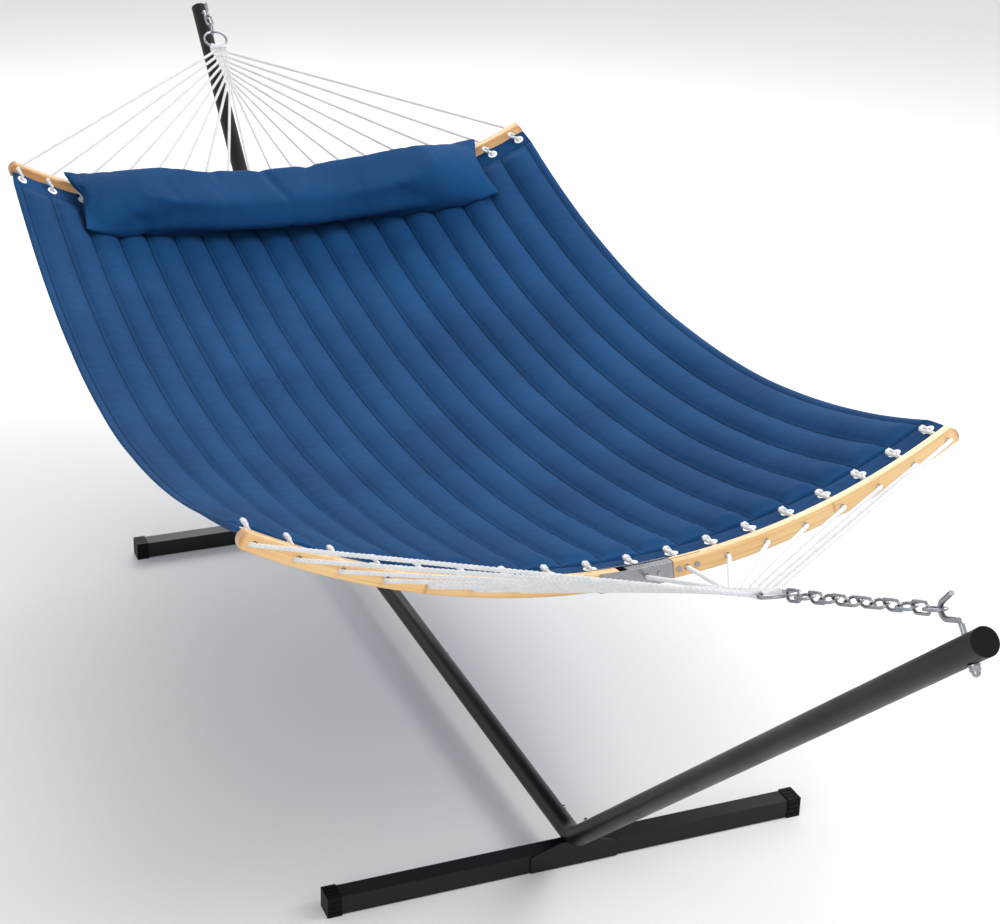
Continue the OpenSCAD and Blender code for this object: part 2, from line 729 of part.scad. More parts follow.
module near_left_bar() { bar_half(near_end, -spreader_l/2, left_wood_end); }
module near_right_bar() { bar_half(near_end, right_wood_start, spreader_l/2); }
module far_left_bar() { far() bar_half(far_end, -spreader_l/2, left_wood_end); }
module far_right_bar() { far() bar_half(far_end, right_wood_start, spreader_l/2); }
module near_fold_channel() { channel(near_end); }
module far_fold_channel() { far() channel(far_end); }
module near_fold_tongue() { tongue(near_end); }
module far_fold_tongue() { far() tongue(far_end); }
module near_fold_pins() { fold_pins(near_end); }
module far_fold_pins() { far() fold_pins(far_end); }

// ---- hems and eyelets
module at_eyelet(e, s) {
  at_arc(s) translate([hem_edge, 0, e[4]]) rotate([0, -e[3], 0])
    translate([-eyelet_in, 0, 0]) children();
}

barrel_d = eyelet_id + 2;

module hem(e) {
  color(fabric_blue) on_bar(e) difference() {
    arc_sweep(-bed_half, bed_half) translate([-e[4], hem_edge]) rotate([0, 0, e[3]])
      translate([0, -hem_w/2]) square([hem_t, hem_w], center = true);
    for (i = [0:hole_count - 1]) at_eyelet(e, hole_at(i)) translate([0, 0, -hem_t])
      cylinder(d = barrel_d + 0.4, h = 2*hem_t);
  }
}

module eyelets(e) {
  flange_t = 0.8;
  color(zinc) on_bar(e) for (i = [0:hole_count - 1]) at_eyelet(e, hole_at(i)) difference() {
    union() {
      translate([0, 0, -hem_t/2 - 0.3]) cylinder(d = barrel_d, h = hem_t + 0.6);
      for (z = [-1, 1]) translate([0, 0, z*(hem_t/2 + 0.25 + flange_t/2) - flange_t/2])
        cylinder(d = eyelet_od, h = flange_t);
    }
    translate([0, 0, -hem_t]) cylinder(d = eyelet_id, h = 2*hem_t);
  }
}

module near_hem() { hem(near_end); }
module far_hem() { far() hem(far_end); }
module near_eyelets() { eyelets(near_end); }
module far_eyelets() { far() eyelets(far_end); }

// ---- quilted bed: a grid of points on its upper face and one on its lower face
module quilt() {
  nu = 24;
  nv = 16;
  row = nv + 1;
  top = [for (i = [0:nu], j = [0:nv]) bed_pt(i/nu, 2*j/nv - 1, quilt_t/2)];
  under = [for (i = [0:nu], j = [0:nv]) bed_pt(i/nu, 2*j/nv - 1, -quilt_t/2)];
  m = len(top);
  function cell(i, j) = i*row + j;
  upper = [for (i = [0:nu - 1], j = [0:nv - 1])
    each [[cell(i, j), cell(i + 1, j), cell(i + 1, j + 1)],
      [cell(i, j), cell(i + 1, j + 1), cell(i, j + 1)]]];
  lower = [for (f = upper) [m + f[0], m + f[2], m + f[1]]];
  rim = concat([for (j = [0:nv - 1]) cell(0, j)], [for (i = [0:nu - 1]) cell(i, nv)],
    [for (j = [nv:-1:1]) cell(nu, j)], [for (i = [nu:-1:1]) cell(i, 0)]);
  walls = [for (k = [0:len(rim) - 1]) let(a = rim[k], b = rim[(k + 1) % len(rim)])
    [a, b, m + b, m + a]];
  color(fabric_blue) polyhedron(concat(top, under), concat(upper, lower, walls));
}

// ---- pillow: a cushion section swept along a curve a little flatter than the far bar's,
// which leans in over the bed, so the ends lie further from the bar than the middle
module pillow() {
  slope = 13;
  n = 28;
  bend_r = spreader_r*pillow_flatter;
  half = pillow_l/2/bend_r*180/PI;
  lowest = spreader_r*(cos(half_arc) - 1);
  rise = spreader_h/2 + pillow_lift - pillow_from_bar*tan(slope);
  lens = [for (k = [0:n - 1]) let(a = 360*k/n)
    [-pillow_t/2*(1 + sign(sin(a))*pow(abs(sin(a)), 0.8)),
     pillow_w/2*sign(cos(a))*pow(abs(cos(a)), 0.6)]];
  color(fabric_blue) far() on_bar(far_end)
    translate([-pillow_from_bar, 0, lowest + rise]) rotate([0, -pillow_lean, 0])
      translate([0, 0, bend_r]) rotate([0, 90, 0]) rotate([0, 0, -half])
        rotate_extrude(angle = 2*half) translate([bend_r, 0]) rotate([0, 0, slope - pillow_lean])
          polygon(lens);
}

near_base_frame();
far_base_frame();
near_left_cap();
near_right_cap();
far_left_cap();
far_right_cap();
near_beam();
far_beam();
near_lower_arm();
near_upper_arm();
far_lower_arm();
far_upper_arm();
near_arm_plug();
far_arm_plug();
near_beam_button();
mid_beam_button();
far_beam_button();
near_arm_button();
near_mid_arm_button();
far_arm_button();
far_mid_arm_button();
near_hook();
far_hook();
near_hook_fastener();
far_hook_fastener();
near_chain();
far_chain();
near_ring();
far_ring();
near_weave();
far_weave();
near_ropes();
far_ropes();
near_left_bar();
near_right_bar();
far_left_bar();
far_right_bar();
near_fold_channel();
far_fold_channel();
near_fold_tongue();
far_fold_tongue();
near_fold_pins();
far_fold_pins();
near_hem();
far_hem();
near_eyelets();
far_eyelets();
quilt();
pillow();
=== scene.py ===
# %% [markdown]
# # A quilted hammock on its steel stand
# This lesson dresses a measured model of a double hammock. The steel, the wooden bars and the
# chains come ready made as the frame. The cloth, the ropes and every finish are made here.
# We begin by loading the frame.

# %% Load the frame
import math

import bmesh
import bpy
import numpy as np
from mathutils import Matrix, Vector
from mathutils.bvhtree import BVHTree


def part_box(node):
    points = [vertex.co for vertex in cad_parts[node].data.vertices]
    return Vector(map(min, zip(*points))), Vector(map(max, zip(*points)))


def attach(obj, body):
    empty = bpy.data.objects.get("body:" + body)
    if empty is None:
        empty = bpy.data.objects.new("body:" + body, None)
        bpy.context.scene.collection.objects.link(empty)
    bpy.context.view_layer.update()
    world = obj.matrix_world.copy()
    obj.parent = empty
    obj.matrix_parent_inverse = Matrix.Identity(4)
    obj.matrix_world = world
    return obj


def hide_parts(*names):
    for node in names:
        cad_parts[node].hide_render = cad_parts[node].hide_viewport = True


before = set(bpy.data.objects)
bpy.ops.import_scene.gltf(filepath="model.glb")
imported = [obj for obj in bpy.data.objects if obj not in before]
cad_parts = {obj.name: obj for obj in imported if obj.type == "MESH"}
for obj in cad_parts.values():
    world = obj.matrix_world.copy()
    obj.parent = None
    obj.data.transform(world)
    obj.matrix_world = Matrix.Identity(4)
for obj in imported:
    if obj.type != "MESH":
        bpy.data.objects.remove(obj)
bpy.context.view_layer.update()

# %% [markdown]
# ## The camera
# A camera is placed by where it stands and by three turns: which way it faces, how far it looks
# down, and a little roll. A 74 mm lens keeps the far end from looking too small. It comes first,
# so that every later piece can be looked at through it.

# %% Place the camera
STANDING_AT = Vector((3.7187, -1.4076, 2.2947))
FACING, LOOKING_DOWN, ROLL = (math.radians(a) for a in (67.027, 24.175, 1.81))
LENS_MM, SENSOR_MM, SHIFT = 73.9, 36, (-0.0079, 0.0008)
forward = Vector((-math.sin(FACING) * math.cos(LOOKING_DOWN),
                  math.cos(FACING) * math.cos(LOOKING_DOWN), -math.sin(LOOKING_DOWN)))
level_right = forward.cross(Vector((0, 0, 1))).normalized()
level_up = level_right.cross(forward)
camera_right = level_right * math.cos(ROLL) + level_up * math.sin(ROLL)
camera_up = level_up * math.cos(ROLL) - level_right * math.sin(ROLL)
camera = bpy.data.objects.new("camera", bpy.data.cameras.new("camera"))
bpy.context.scene.collection.objects.link(camera)
camera.data.lens, camera.data.sensor_width = LENS_MM, SENSOR_MM
camera.data.shift_x, camera.data.shift_y = SHIFT
camera.data.clip_start, camera.data.clip_end = 0.05, 100
turn = Matrix((camera_right, camera_up, -forward)).transposed()
camera.matrix_world = Matrix.Translation(STANDING_AT) @ turn.to_4x4()
bpy.context.scene.camera = camera
print("camera is", round(STANDING_AT.length, 2), "m from the origin")

# %% [markdown]
# ## The studio
# The object stands on a pale floor under soft light. A very large floor has no visible edge, and
# wide area lights give the broad, gentle shine of a photographer's soft boxes. A bright, even
# world fills the shadows, as white studio walls do.

# %% Floor, lights and world
def studio_floor(half_width):
    mesh = bpy.data.meshes.new("studio_floor")
    corners = [(x * half_width, y * half_width, 0) for x, y in ((-1, -1), (1, -1), (1, 1), (-1, 1))]
    mesh.from_pydata(corners, [], [(0, 1, 2, 3)])
    floor = bpy.data.objects.new("studio_floor", mesh)
    bpy.context.scene.collection.objects.link(floor)
    return floor


def soft_light(name, place, aim, width, watts):
    lamp = bpy.data.objects.new(name, bpy.data.lights.new(name, "AREA"))
    lamp.data.shape, lamp.data.size, lamp.data.energy = "DISK", width, watts
    lamp.location = place
    lamp.rotation_euler = (Vector(aim) - Vector(place)).to_track_quat("-Z", "Y").to_euler()
    bpy.context.scene.collection.objects.link(lamp)
    return lamp


floor = studio_floor(40)
lights = [soft_light("key", (1.5, 3.8, 4.2), (0, 0, 0.6), 3.0, 190),
          soft_light("fill", (4.5, -4.0, 3.0), (0.4, 0, 0.5), 3.5, 70),
          soft_light("back", (-4.5, 1.0, 3.6), (-0.6, 0, 0.7), 3.0, 110)]
world = bpy.data.worlds.new("studio")
bpy.context.scene.world = world
world.use_nodes = True
world.node_tree.nodes["Background"].inputs["Color"].default_value = (1.0, 1.0, 1.0, 1)
world.node_tree.nodes["Background"].inputs["Strength"].default_value = 0.85
bpy.context.scene.view_settings.view_transform = "Standard"
print("lights:", [lamp.name for lamp in lights])

# %% [markdown]
# ## Writing node trees as sums
# A material is a graph of small nodes, and so is a Geometry Nodes tree. Wiring them one by one is
# slow to read, so a `Reading` wraps one output socket and lets us write sums on it. A `Bench` holds
# a tree and adds any kind of node: its settings first, then its inputs.

# %% Reading and Bench
class Reading:
    """A number that changes over a surface or along a curve: one output socket."""

    def __init__(self, bench, socket):
        self.bench, self.socket = bench, socket

    def maths(self, operation, *others):
        return self.bench.add("ShaderNodeMath", {"operation": operation}, [self, *others])

    def __add__(self, other): return self.maths("ADD", other)
    def __sub__(self, other): return self.maths("SUBTRACT", other)
    def __mul__(self, other): return self.maths("MULTIPLY", other)
    def __truediv__(self, other): return self.maths("DIVIDE", other)
    def __rsub__(self, other): return self.bench.add(
        "ShaderNodeMath", {"operation": "SUBTRACT"}, [other, self])
    __radd__, __rmul__ = __add__, __mul__


class Bench:
    """A node tree being built. Every node comes from add()."""

    def __init__(self, tree):
        self.tree = tree

    def add(self, kind, settings=None, inputs=None, output=0):
        node = self.tree.nodes.new(kind)
        for name, value in (settings or {}).items():
            if name == "stops":
                ramp = node.color_ramp.elements
                ramp.remove(ramp[1])
                for number, (place, colour) in enumerate(value):
                    stop = ramp.new(place) if number else ramp[0]
                    stop.position, stop.color = place, (*colour, 1)
            else:
                setattr(node, name, value)
        pairs = inputs.items() if isinstance(inputs, dict) else enumerate(inputs or [])
        for key, value in pairs:
            if isinstance(value, Reading):
                self.tree.links.new(value.socket, node.inputs[key])
            elif value is not None:
                node.inputs[key].default_value = value
        return Reading(self, node.outputs[output])

    def parts(self, vector):
        return [self.add("ShaderNodeSeparateXYZ", {}, [vector], n) for n in range(3)]

    def vector(self, x, y, z):
        return self.add("ShaderNodeCombineXYZ", {}, [x, y, z])

    def scaled(self, vector, factors):
        return self.add("ShaderNodeVectorMath", {"operation": "MULTIPLY"}, [vector, factors])

    def noise(self, vector, scale, detail=2, roughness=0.5):
        return self.add("ShaderNodeTexNoise", {}, {
            "Vector": vector, "Scale": scale, "Detail": detail, "Roughness": roughness})

    def between(self, value, low, high, to_low=0.0, to_high=1.0):
        return self.add("ShaderNodeMapRange", {"interpolation_type": "SMOOTHSTEP"},
                        {"Value": value, "From Min": low, "From Max": high,
                         "To Min": to_low, "To Max": to_high})

    def blend(self, factor, first, second):
        return self.add("ShaderNodeMix", {"data_type": "RGBA"}, {0: factor, 6: first, 7: second}, 2)

    def bump(self, height, distance, strength=1.0, under=None):
        return self.add("ShaderNodeBump", {}, {
            "Strength": strength, "Distance": distance, "Height": height, "Normal": under})


def colour(red, green, blue):
    """A screen colour of 0 to 255 as the linear colour that shaders use."""
    return (*(((c / 255 + 0.055) / 1.055) ** 2.4 for c in (red, green, blue)), 1.0)


def finish_of(name, paint):
    """A new material: paint(bench) gives the shader's inputs, links and plain numbers alike."""
    material = bpy.data.materials.new(name)
    material.use_nodes = True
    bench = Bench(material.node_tree)
    shader = material.node_tree.nodes["Principled BSDF"]
    for key, value in paint(bench).items():
        if isinstance(value, Reading):
            material.node_tree.links.new(value.socket, shader.inputs[key])
        else:
            shader.inputs[key].default_value = value
    return material


def place_of(bench):
    return bench.add("ShaderNodeTexCoord", {}, {}, 3)


print("node helpers are ready")

# %% [markdown]
# ## Steel, plastic and zinc
# The tubes are powder coated: a satin black with a faint orange-peel texture and slightly uneven
# shine. The end caps and plugs are moulded plastic, a little duller. Hooks, chains, rings and
# rivets are zinc plated: a mid grey metal, a little cloudy where the plating varies. Each is one small
# recipe of noise for roughness and bump over Object coordinates, so it holds still on its piece.

# %% Hard finishes
def powder_coat(bench):
    place = place_of(bench)
    peel = bench.noise(place, 900, 2)
    cloud = bench.noise(place, 7, 3)
    return {"Base Color": bench.blend(cloud, colour(9, 9, 11), colour(15, 15, 17)),
            "Roughness": bench.between(cloud, 0.3, 0.7, 0.36, 0.46),
            "Normal": bench.bump(peel, 0.00006, 0.5), "Specular IOR Level": 0.3}


def moulded_plastic(bench):
    place = place_of(bench)
    grain = bench.noise(place, 1500, 2)
    cloud = bench.noise(place, 25, 2)
    return {"Base Color": bench.blend(cloud, colour(4, 4, 5), colour(8, 8, 9)),
            "Roughness": bench.between(cloud, 0.3, 0.7, 0.42, 0.55),
            "Normal": bench.bump(grain, 0.00005, 0.5), "Specular IOR Level": 0.12}


def zinc_plate(bench):
    place = place_of(bench)
    cloud = bench.noise(place, 70, 2)
    scratch = bench.noise(bench.scaled(place, (300, 300, 1400)), 1.0, 2)
    return {"Base Color": bench.blend(cloud, colour(138, 141, 146), colour(168, 171, 176)),
            "Roughness": bench.between(cloud, 0.3, 0.7, 0.24, 0.3),
            "Normal": bench.bump(scratch, 0.00004, 0.4), "Metallic": 1.0}


def dark_zinc(bench):
    made = zinc_plate(bench)
    cloud = bench.noise(place_of(bench), 90, 3)
    made["Base Color"] = bench.blend(cloud, colour(96, 100, 104), colour(132, 136, 140))
    return made


def eyelet_white(bench):
    cloud = bench.noise(place_of(bench), 120, 2)
    return {"Base Color": bench.blend(cloud, colour(232, 233, 234), colour(246, 246, 245)),
            "Roughness": bench.between(cloud, 0.3, 0.7, 0.3, 0.42)}


def pale_floor(bench):
    cloud = bench.noise(place_of(bench), 0.6, 3)
    return {"Base Color": bench.blend(cloud, (0.80, 0.80, 0.80, 1), (0.84, 0.84, 0.84, 1)),
            "Roughness": 0.7}


powder_black = finish_of("powder_black_steel", powder_coat)
cap_black = finish_of("cap_black_plastic", moulded_plastic)
bright_zinc = finish_of("bright_zinc", zinc_plate)
dull_zinc = finish_of("dull_zinc", dark_zinc)
white_eyelet = finish_of("white_eyelet", eyelet_white)
floor.data.materials.append(finish_of("pale_floor", pale_floor))
print("hard finishes:", powder_black.name, cap_black.name, bright_zinc.name, dull_zinc.name)

# %% [markdown]
# ## Bamboo that follows the bar
# A spreader bar is pressed from strips of bamboo and bent to a curve, so its grain bends with it.
# Straight coordinates would run off the bar, so the finish works out the bar's own: how far along
# the curve, how far from its centre, and how deep through the bar. Fine streaks run along, thin glue
# lines part the strips, and darker bands cross where the cane had its nodes.

# %% Bamboo along a curve
CURVE_R, BAR_L, BAR_H, BAR_T = 1.355, 1.390, 0.033, 0.024
TILT = math.radians(8.8)
NEAR_END, FAR_END = (0.889, 0.853), (-1.161, 0.886)
HALF_ARC = BAR_L / 2 / CURVE_R


def bamboo_on(bar_end, pale, warm, streak):
    outward = 1 if bar_end[0] > 0 else -1
    centre_up = CURVE_R * math.cos(HALF_ARC)

    def paint(bench):
        x, y, z = bench.parts(place_of(bench))
        dx, dz = x - bar_end[0], z - bar_end[1]
        through = dx * (outward * math.cos(TILT)) + dz * math.sin(TILT)
        height = dz * math.cos(TILT) - dx * (outward * math.sin(TILT))
        drop = centre_up - height
        along = y.maths("ARCTAN2", drop) * CURVE_R
        reach = (y * y + drop * drop).maths("SQRT") - CURVE_R
        strip = (through * (1 / 0.005)).maths("FLOOR")
        tone = bench.add("ShaderNodeTexWhiteNoise", {"noise_dimensions": "1D"}, {"W": strip})
        streaks = bench.noise(bench.vector(along * 3, reach * 320, through * 320), 1.0, 4, 0.6)
        fibres = bench.noise(bench.vector(along * 14, reach * 1500, through * 1500), 1.0, 2)
        waver = bench.noise(bench.vector(along, strip, 0.0), 2.5, 2)
        crossing = ((along * 2.6 + waver * 1.2 + tone * 0.9).maths("FRACT") - 0.5).maths("ABSOLUTE")
        node_band = bench.between(crossing, 0.0, 0.02, 1.0, 0.0)
        seam = ((through * (1 / 0.005)).maths("FRACT") - 0.5).maths("ABSOLUTE")
        glue = bench.between(seam, 0.46, 0.5)
        patches = bench.noise(bench.vector(along * 2.2, 0.0, through * 8), 1.0, 2)
        light = bench.blend(bench.between(patches, 0.35, 0.65), warm, pale)
        streaked = bench.blend(bench.between(streaks, 0.42, 0.72, 0.0, 0.75), light, streak)
        toned = bench.blend(tone * 0.25, streaked, warm)
        banded = bench.blend(node_band * 0.45, toned, colour(150, 98, 46))
        glued = bench.blend(glue * 0.35, banded, colour(146, 96, 48))
        end = bench.between(along.maths("ABSOLUTE"), BAR_L / 2 - 0.012, BAR_L / 2 - 0.001)
        whole = bench.blend(end * 0.55, glued, colour(160, 100, 58))
        rough = bench.between(streaks, 0.3, 0.7, 0.30, 0.42)
        relief = fibres * 0.6 + streaks * 0.4 - node_band * 0.5
        return {"Base Color": whole, "Roughness": rough, "Coat Weight": 0.25,
                "Coat Roughness": 0.2, "Normal": bench.bump(relief, 0.00012, 0.6)}
    return paint


near_bamboo = finish_of("near_bamboo", bamboo_on(
    NEAR_END, colour(236, 204, 152), colour(218, 174, 114), colour(194, 146, 88)))
far_bamboo = finish_of("far_bamboo", bamboo_on(
    FAR_END, colour(222, 172, 112), colour(200, 144, 84), colour(172, 114, 60)))
print("half angle of a bar's curve:", round(math.degrees(HALF_ARC), 1), "degrees")

# %% Give the frame its finishes
def dress(node, material):
    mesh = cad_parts[node].data
    mesh.materials.clear()
    mesh.materials.append(material)


STEEL = ("base_frame", "beam", "lower_arm", "upper_arm")
BRIGHT = ("hook", "hook_fastener", "chain", "ring", "fold_channel", "fold_pins")
for end in ("near", "far"):
    for piece in STEEL:
        dress(f"{end}_{piece}", powder_black)
    for piece in BRIGHT:
        dress(f"{end}_{piece}", bright_zinc)
    for piece in ("left_cap", "right_cap", "arm_plug"):
        dress(f"{end}_{piece}", cap_black)
    dress(f"{end}_fold_tongue", dull_zinc)
    dress(f"{end}_eyelets", white_eyelet)
    for side in ("left", "right"):
        dress(f"{end}_{side}_bar", near_bamboo if end == "near" else far_bamboo)
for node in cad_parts:
    if node.endswith("button"):
        dress(node, bright_zinc)
print("dressed", len(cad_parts), "frame nodes")

# %% [markdown]
# ## Measuring along the hammock
# Cloth and ropes hang between known places, so three small maps say where those places are. One
# follows a wooden bar, one follows the hem that is laced to it, and one follows the straight pull
# from a hook through chain, ring and woven end. The far end is the near end seen in a mirror.

# %% Maps of the hammock
HEM_GAP, HEM_W, HEM_T = 0.013, 0.052, 0.004
HEM_FALL = {NEAR_END: math.radians(2), FAR_END: math.radians(12)}
HEM_RISE = {NEAR_END: 0.005, FAR_END: 0.0}
BED_W, BED_SAG, TROUGH = 1.386, 0.185, 0.120
HOLES, HOLE_IN, EYELET_IN = 18, 0.025, 0.022
RING_R, RING_WIRE = 0.030, 0.006
WEAVE_L, WEAVE_W, WEAVE_TIP = 0.175, 0.046, 0.006
HEM_EDGE = -BAR_T / 2 - HEM_GAP
hole_pitch = (BAR_L - 2 * HOLE_IN) / (HOLES - 1)


def bar_point(end, along, out, up):
    centre_x, height = abs(end[0]), end[1]
    angle = along / CURVE_R
    rise = CURVE_R * math.cos(HALF_ARC) - (CURVE_R - up) * math.cos(angle)
    x = centre_x + out * math.cos(TILT) - rise * math.sin(TILT)
    z = height + rise * math.cos(TILT) + out * math.sin(TILT)
    return np.array([math.copysign(x, end[0]), (CURVE_R - up) * math.sin(angle), z])


def hem_point(end, along, inward, up):
    fall = HEM_FALL[end]
    out = HEM_EDGE - inward * math.cos(fall) + up * math.sin(fall)
    rise = HEM_RISE[end] - inward * math.sin(fall) + up * math.cos(fall)
    return bar_point(end, along, out, rise)


RING_CENTRES = {name: np.array((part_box(f"{name}_ring")[0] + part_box(f"{name}_ring")[1]) / 2)
                for name in ("near", "far")}


def line_point(end, end_name, beyond_ring, across, square_off):
    centre, goal = RING_CENTRES[end_name], bar_point(end, 0, BAR_T / 2, 0)
    pull = (goal - centre) / np.linalg.norm(goal - centre)
    upward = np.array([-pull[2], 0, pull[0]]) * math.copysign(1, -end[0])
    return centre + pull * beyond_ring + np.array([0, across, 0]) + upward * square_off


ENDS = {"near": NEAR_END, "far": FAR_END}
for name, end in ENDS.items():
    print(name, "ring to bar:",
          round(float(np.linalg.norm(bar_point(end, 0, BAR_T / 2, 0) - RING_CENTRES[name])), 3), "m")

# %% [markdown]
# ## White rope
# The ropes are laid from three strands, so a rope is a curve whose three-lobed section turns as it
# travels. Geometry Nodes suit that: resample the curve, tilt each point by its distance along it,
# and sweep the section. The same tree serves suspension ropes, weave and loops.

# %% The rope tree and its finish
def rope_white(bench):
    place = place_of(bench)
    fuzz = bench.noise(place, 1400, 3)
    cloud = bench.noise(place, 40, 2)
    return {"Base Color": bench.blend(cloud, colour(202, 205, 209), colour(228, 230, 232)),
            "Roughness": bench.between(fuzz, 0.2, 0.8, 0.7, 0.9),
            "Normal": bench.bump(fuzz, 0.0002, 0.6), "Sheen Weight": 0.2}


white_rope = finish_of("white_rope", rope_white)


def rope_tree():
    tree = bpy.data.node_groups.new("laid_rope", "GeometryNodeTree")
    tree.interface.new_socket("Curve", in_out="INPUT", socket_type="NodeSocketGeometry")
    for name in ("Width", "Lay", "Step"):
        tree.interface.new_socket(name, in_out="INPUT", socket_type="NodeSocketFloat")
    tree.interface.new_socket("Rope", in_out="OUTPUT", socket_type="NodeSocketGeometry")
    bench = Bench(tree)
    curve, width, lay, step = (bench.add("NodeGroupInput", {}, {}, n) for n in range(4))
    even = bench.add("GeometryNodeResampleCurve", {"mode": "LENGTH"}, {"Curve": curve, "Length": step})
    distance = bench.add("GeometryNodeSplineParameter", {}, {}, 1)
    tilted = bench.add("GeometryNodeSetCurveTilt", {}, {
        "Curve": even, "Tilt": distance * (2 * math.pi) / lay})
    circle = bench.add("GeometryNodeCurvePrimitiveCircle", {}, {"Resolution": 12, "Radius": width * 0.5})
    x, y, z = bench.parts(bench.add("GeometryNodeInputPosition"))
    lobes = (y.maths("ARCTAN2", x) * 3).maths("COSINE") * 0.13 + 0.9
    section = bench.add("GeometryNodeSetPosition", {}, {
        "Geometry": circle, "Position": bench.vector(x * lobes, y * lobes, z)})
    swept = bench.add("GeometryNodeCurveToMesh", {}, {
        "Curve": tilted, "Profile Curve": section, "Fill Caps": True})
    real = bench.add("GeometryNodeRealizeInstances", {}, {"Geometry": swept})
    done = bench.add("GeometryNodeSetMaterial", {}, {"Geometry": real, "Material": white_rope})
    tree.links.new(done.socket, bench.tree.nodes.new("NodeGroupOutput").inputs[0])
    return tree


laid_rope = rope_tree()


def smooth_route(points, per_span=6):
    """A Catmull-Rom curve through the points, as a list of closely spaced ones."""
    p = [np.array(q, float) for q in points]
    p = [2 * p[0] - p[1], *p, 2 * p[-1] - p[-2]]
    route = []
    for a, b, c, d in zip(p, p[1:], p[2:], p[3:]):
        for k in range(per_span):
            t = k / per_span
            route.append(0.5 * (2 * b + (c - a) * t + (2 * a - 5 * b + 4 * c - d) * t * t
                                + (3 * b - a - 3 * c + d) * t ** 3))
    return [*route, p[-2]]


def run_tree(source, tree, inputs):
    """Runs a Geometry Nodes tree on an object and returns the result as a plain mesh object."""
    modifier = source.modifiers.new("tree", "NODES")
    modifier.node_group = tree
    for socket in tree.interface.items_tree:
        if socket.name in inputs:
            modifier[socket.identifier] = inputs[socket.name]
    shown = source.evaluated_get(bpy.context.evaluated_depsgraph_get())
    mesh = bpy.data.meshes.new_from_object(shown)
    name = source.name
    source.modifiers.remove(modifier)
    bpy.data.objects.remove(source)
    made = bpy.data.objects.new(name, mesh)
    mesh.name = name
    bpy.context.scene.collection.objects.link(made)
    return made


def make_ropes(name, routes, width, lay, step=0.004):
    data = bpy.data.curves.new(name + "_lines", "CURVE")
    data.dimensions = "3D"
    for route in routes:
        spline = data.splines.new("POLY")
        spline.points.add(len(route) - 1)
        for point, place in zip(spline.points, route):
            point.co = (*place, 1)
    lines = bpy.data.objects.new(name, data)
    bpy.context.scene.collection.objects.link(lines)
    rope = run_tree(lines, laid_rope, {"Width": width, "Lay": lay, "Step": step})
    rope.data.shade_smooth()
    print(name, len(routes), "ropes,", len(rope.data.polygons), "faces")
    return rope


# %% [markdown]
# ## Suspension ropes and lacing
# Each rope leaves the side of the woven end, runs straight to its hole in the bar, comes out on the
# cloth side, curls over the hem and goes down through an eyelet, where a knot stops it. The curl is
# what shows as a row of small white hooks along the cloth.

# %% Routes of the suspension ropes
ROPE_W = 0.0084


def hole_along(i):
    return -BAR_L / 2 + HOLE_IN + i * hole_pitch


def weave_half(beyond):
    return WEAVE_W / 2 - (WEAVE_W - WEAVE_TIP) / 2 * beyond / WEAVE_L


def leaving(i):
    rank = min(i, HOLES - 1 - i) / (HOLES / 2 - 1)
    return 0.014 + rank * (WEAVE_L - 0.016)


def suspension_route(name, i):
    end, along = ENDS[name], hole_along(i)
    side = -1 if i < HOLES / 2 else 1
    beyond = RING_R + RING_WIRE / 2 + leaving(i)
    start = line_point(end, name, beyond - 0.006, side * (weave_half(leaving(i)) - 0.003), 0)
    leave = line_point(end, name, beyond + 0.006, side * (weave_half(leaving(i)) + 0.0015), 0)
    entry = bar_point(end, along, BAR_T / 2 + 0.007, 0)
    third = leave + (entry - leave) / 3
    return [start, leave, third, leave + (entry - leave) * 0.8, entry,
            bar_point(end, along, BAR_T / 2 - 0.002, 0), bar_point(end, along, -BAR_T / 2, 0)]


def lacing_route(name, i):
    end, along = ENDS[name], hole_along(i)
    top = HEM_T / 2 + ROPE_W / 2 + 0.001
    steps = ((-0.003, -0.007, 0.002), (-0.011, -0.001, top + 0.005), (-0.017, 0.008, top + 0.009),
             (-0.014, 0.019, top + 0.009), (-0.005, EYELET_IN + 0.002, top + 0.006),
             (0.000, EYELET_IN + 0.001, 0.001), (0.000, EYELET_IN, -0.006),
             (0.000, EYELET_IN, -0.012))
    return [hem_point(end, along + sideways, inward, up) for sideways, inward, up in steps]


def knot_routes(name, i):
    end, along = ENDS[name], hole_along(i)
    turns = [(0.0042 * math.cos(a), 0.0042 * math.sin(a), -0.0085 + 0.0007 * a)
             for a in np.linspace(0, 3.4 * math.pi, 16)]
    return [hem_point(end, along + x, EYELET_IN + y, up - 0.004) for x, y, up in turns]


for name in ENDS:
    routes = []
    for i in range(HOLES):
        routes.append(smooth_route(suspension_route(name, i)[:]
                                   + lacing_route(name, i), 5))
        routes.append(knot_routes(name, i))
    ropes = make_ropes(f"{name}_suspension_ropes", routes, ROPE_W, 0.026, 0.0048)
    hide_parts(f"{name}_ropes")
    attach(ropes, "hammock")

# %% [markdown]
# ## The woven end
# Below each ring the eighteen ropes lie side by side and are locked by ropes that cross them, over
# one and under the next. An outer rope leaves at each crossing, so the band narrows to a point. It
# is modelled just so: straight strands that wave up and down, crossing strands that wave the other
# way, and a half turn of every strand round the ring.

# %% Weave the wedge
WEAVE_ROPE = 0.0046


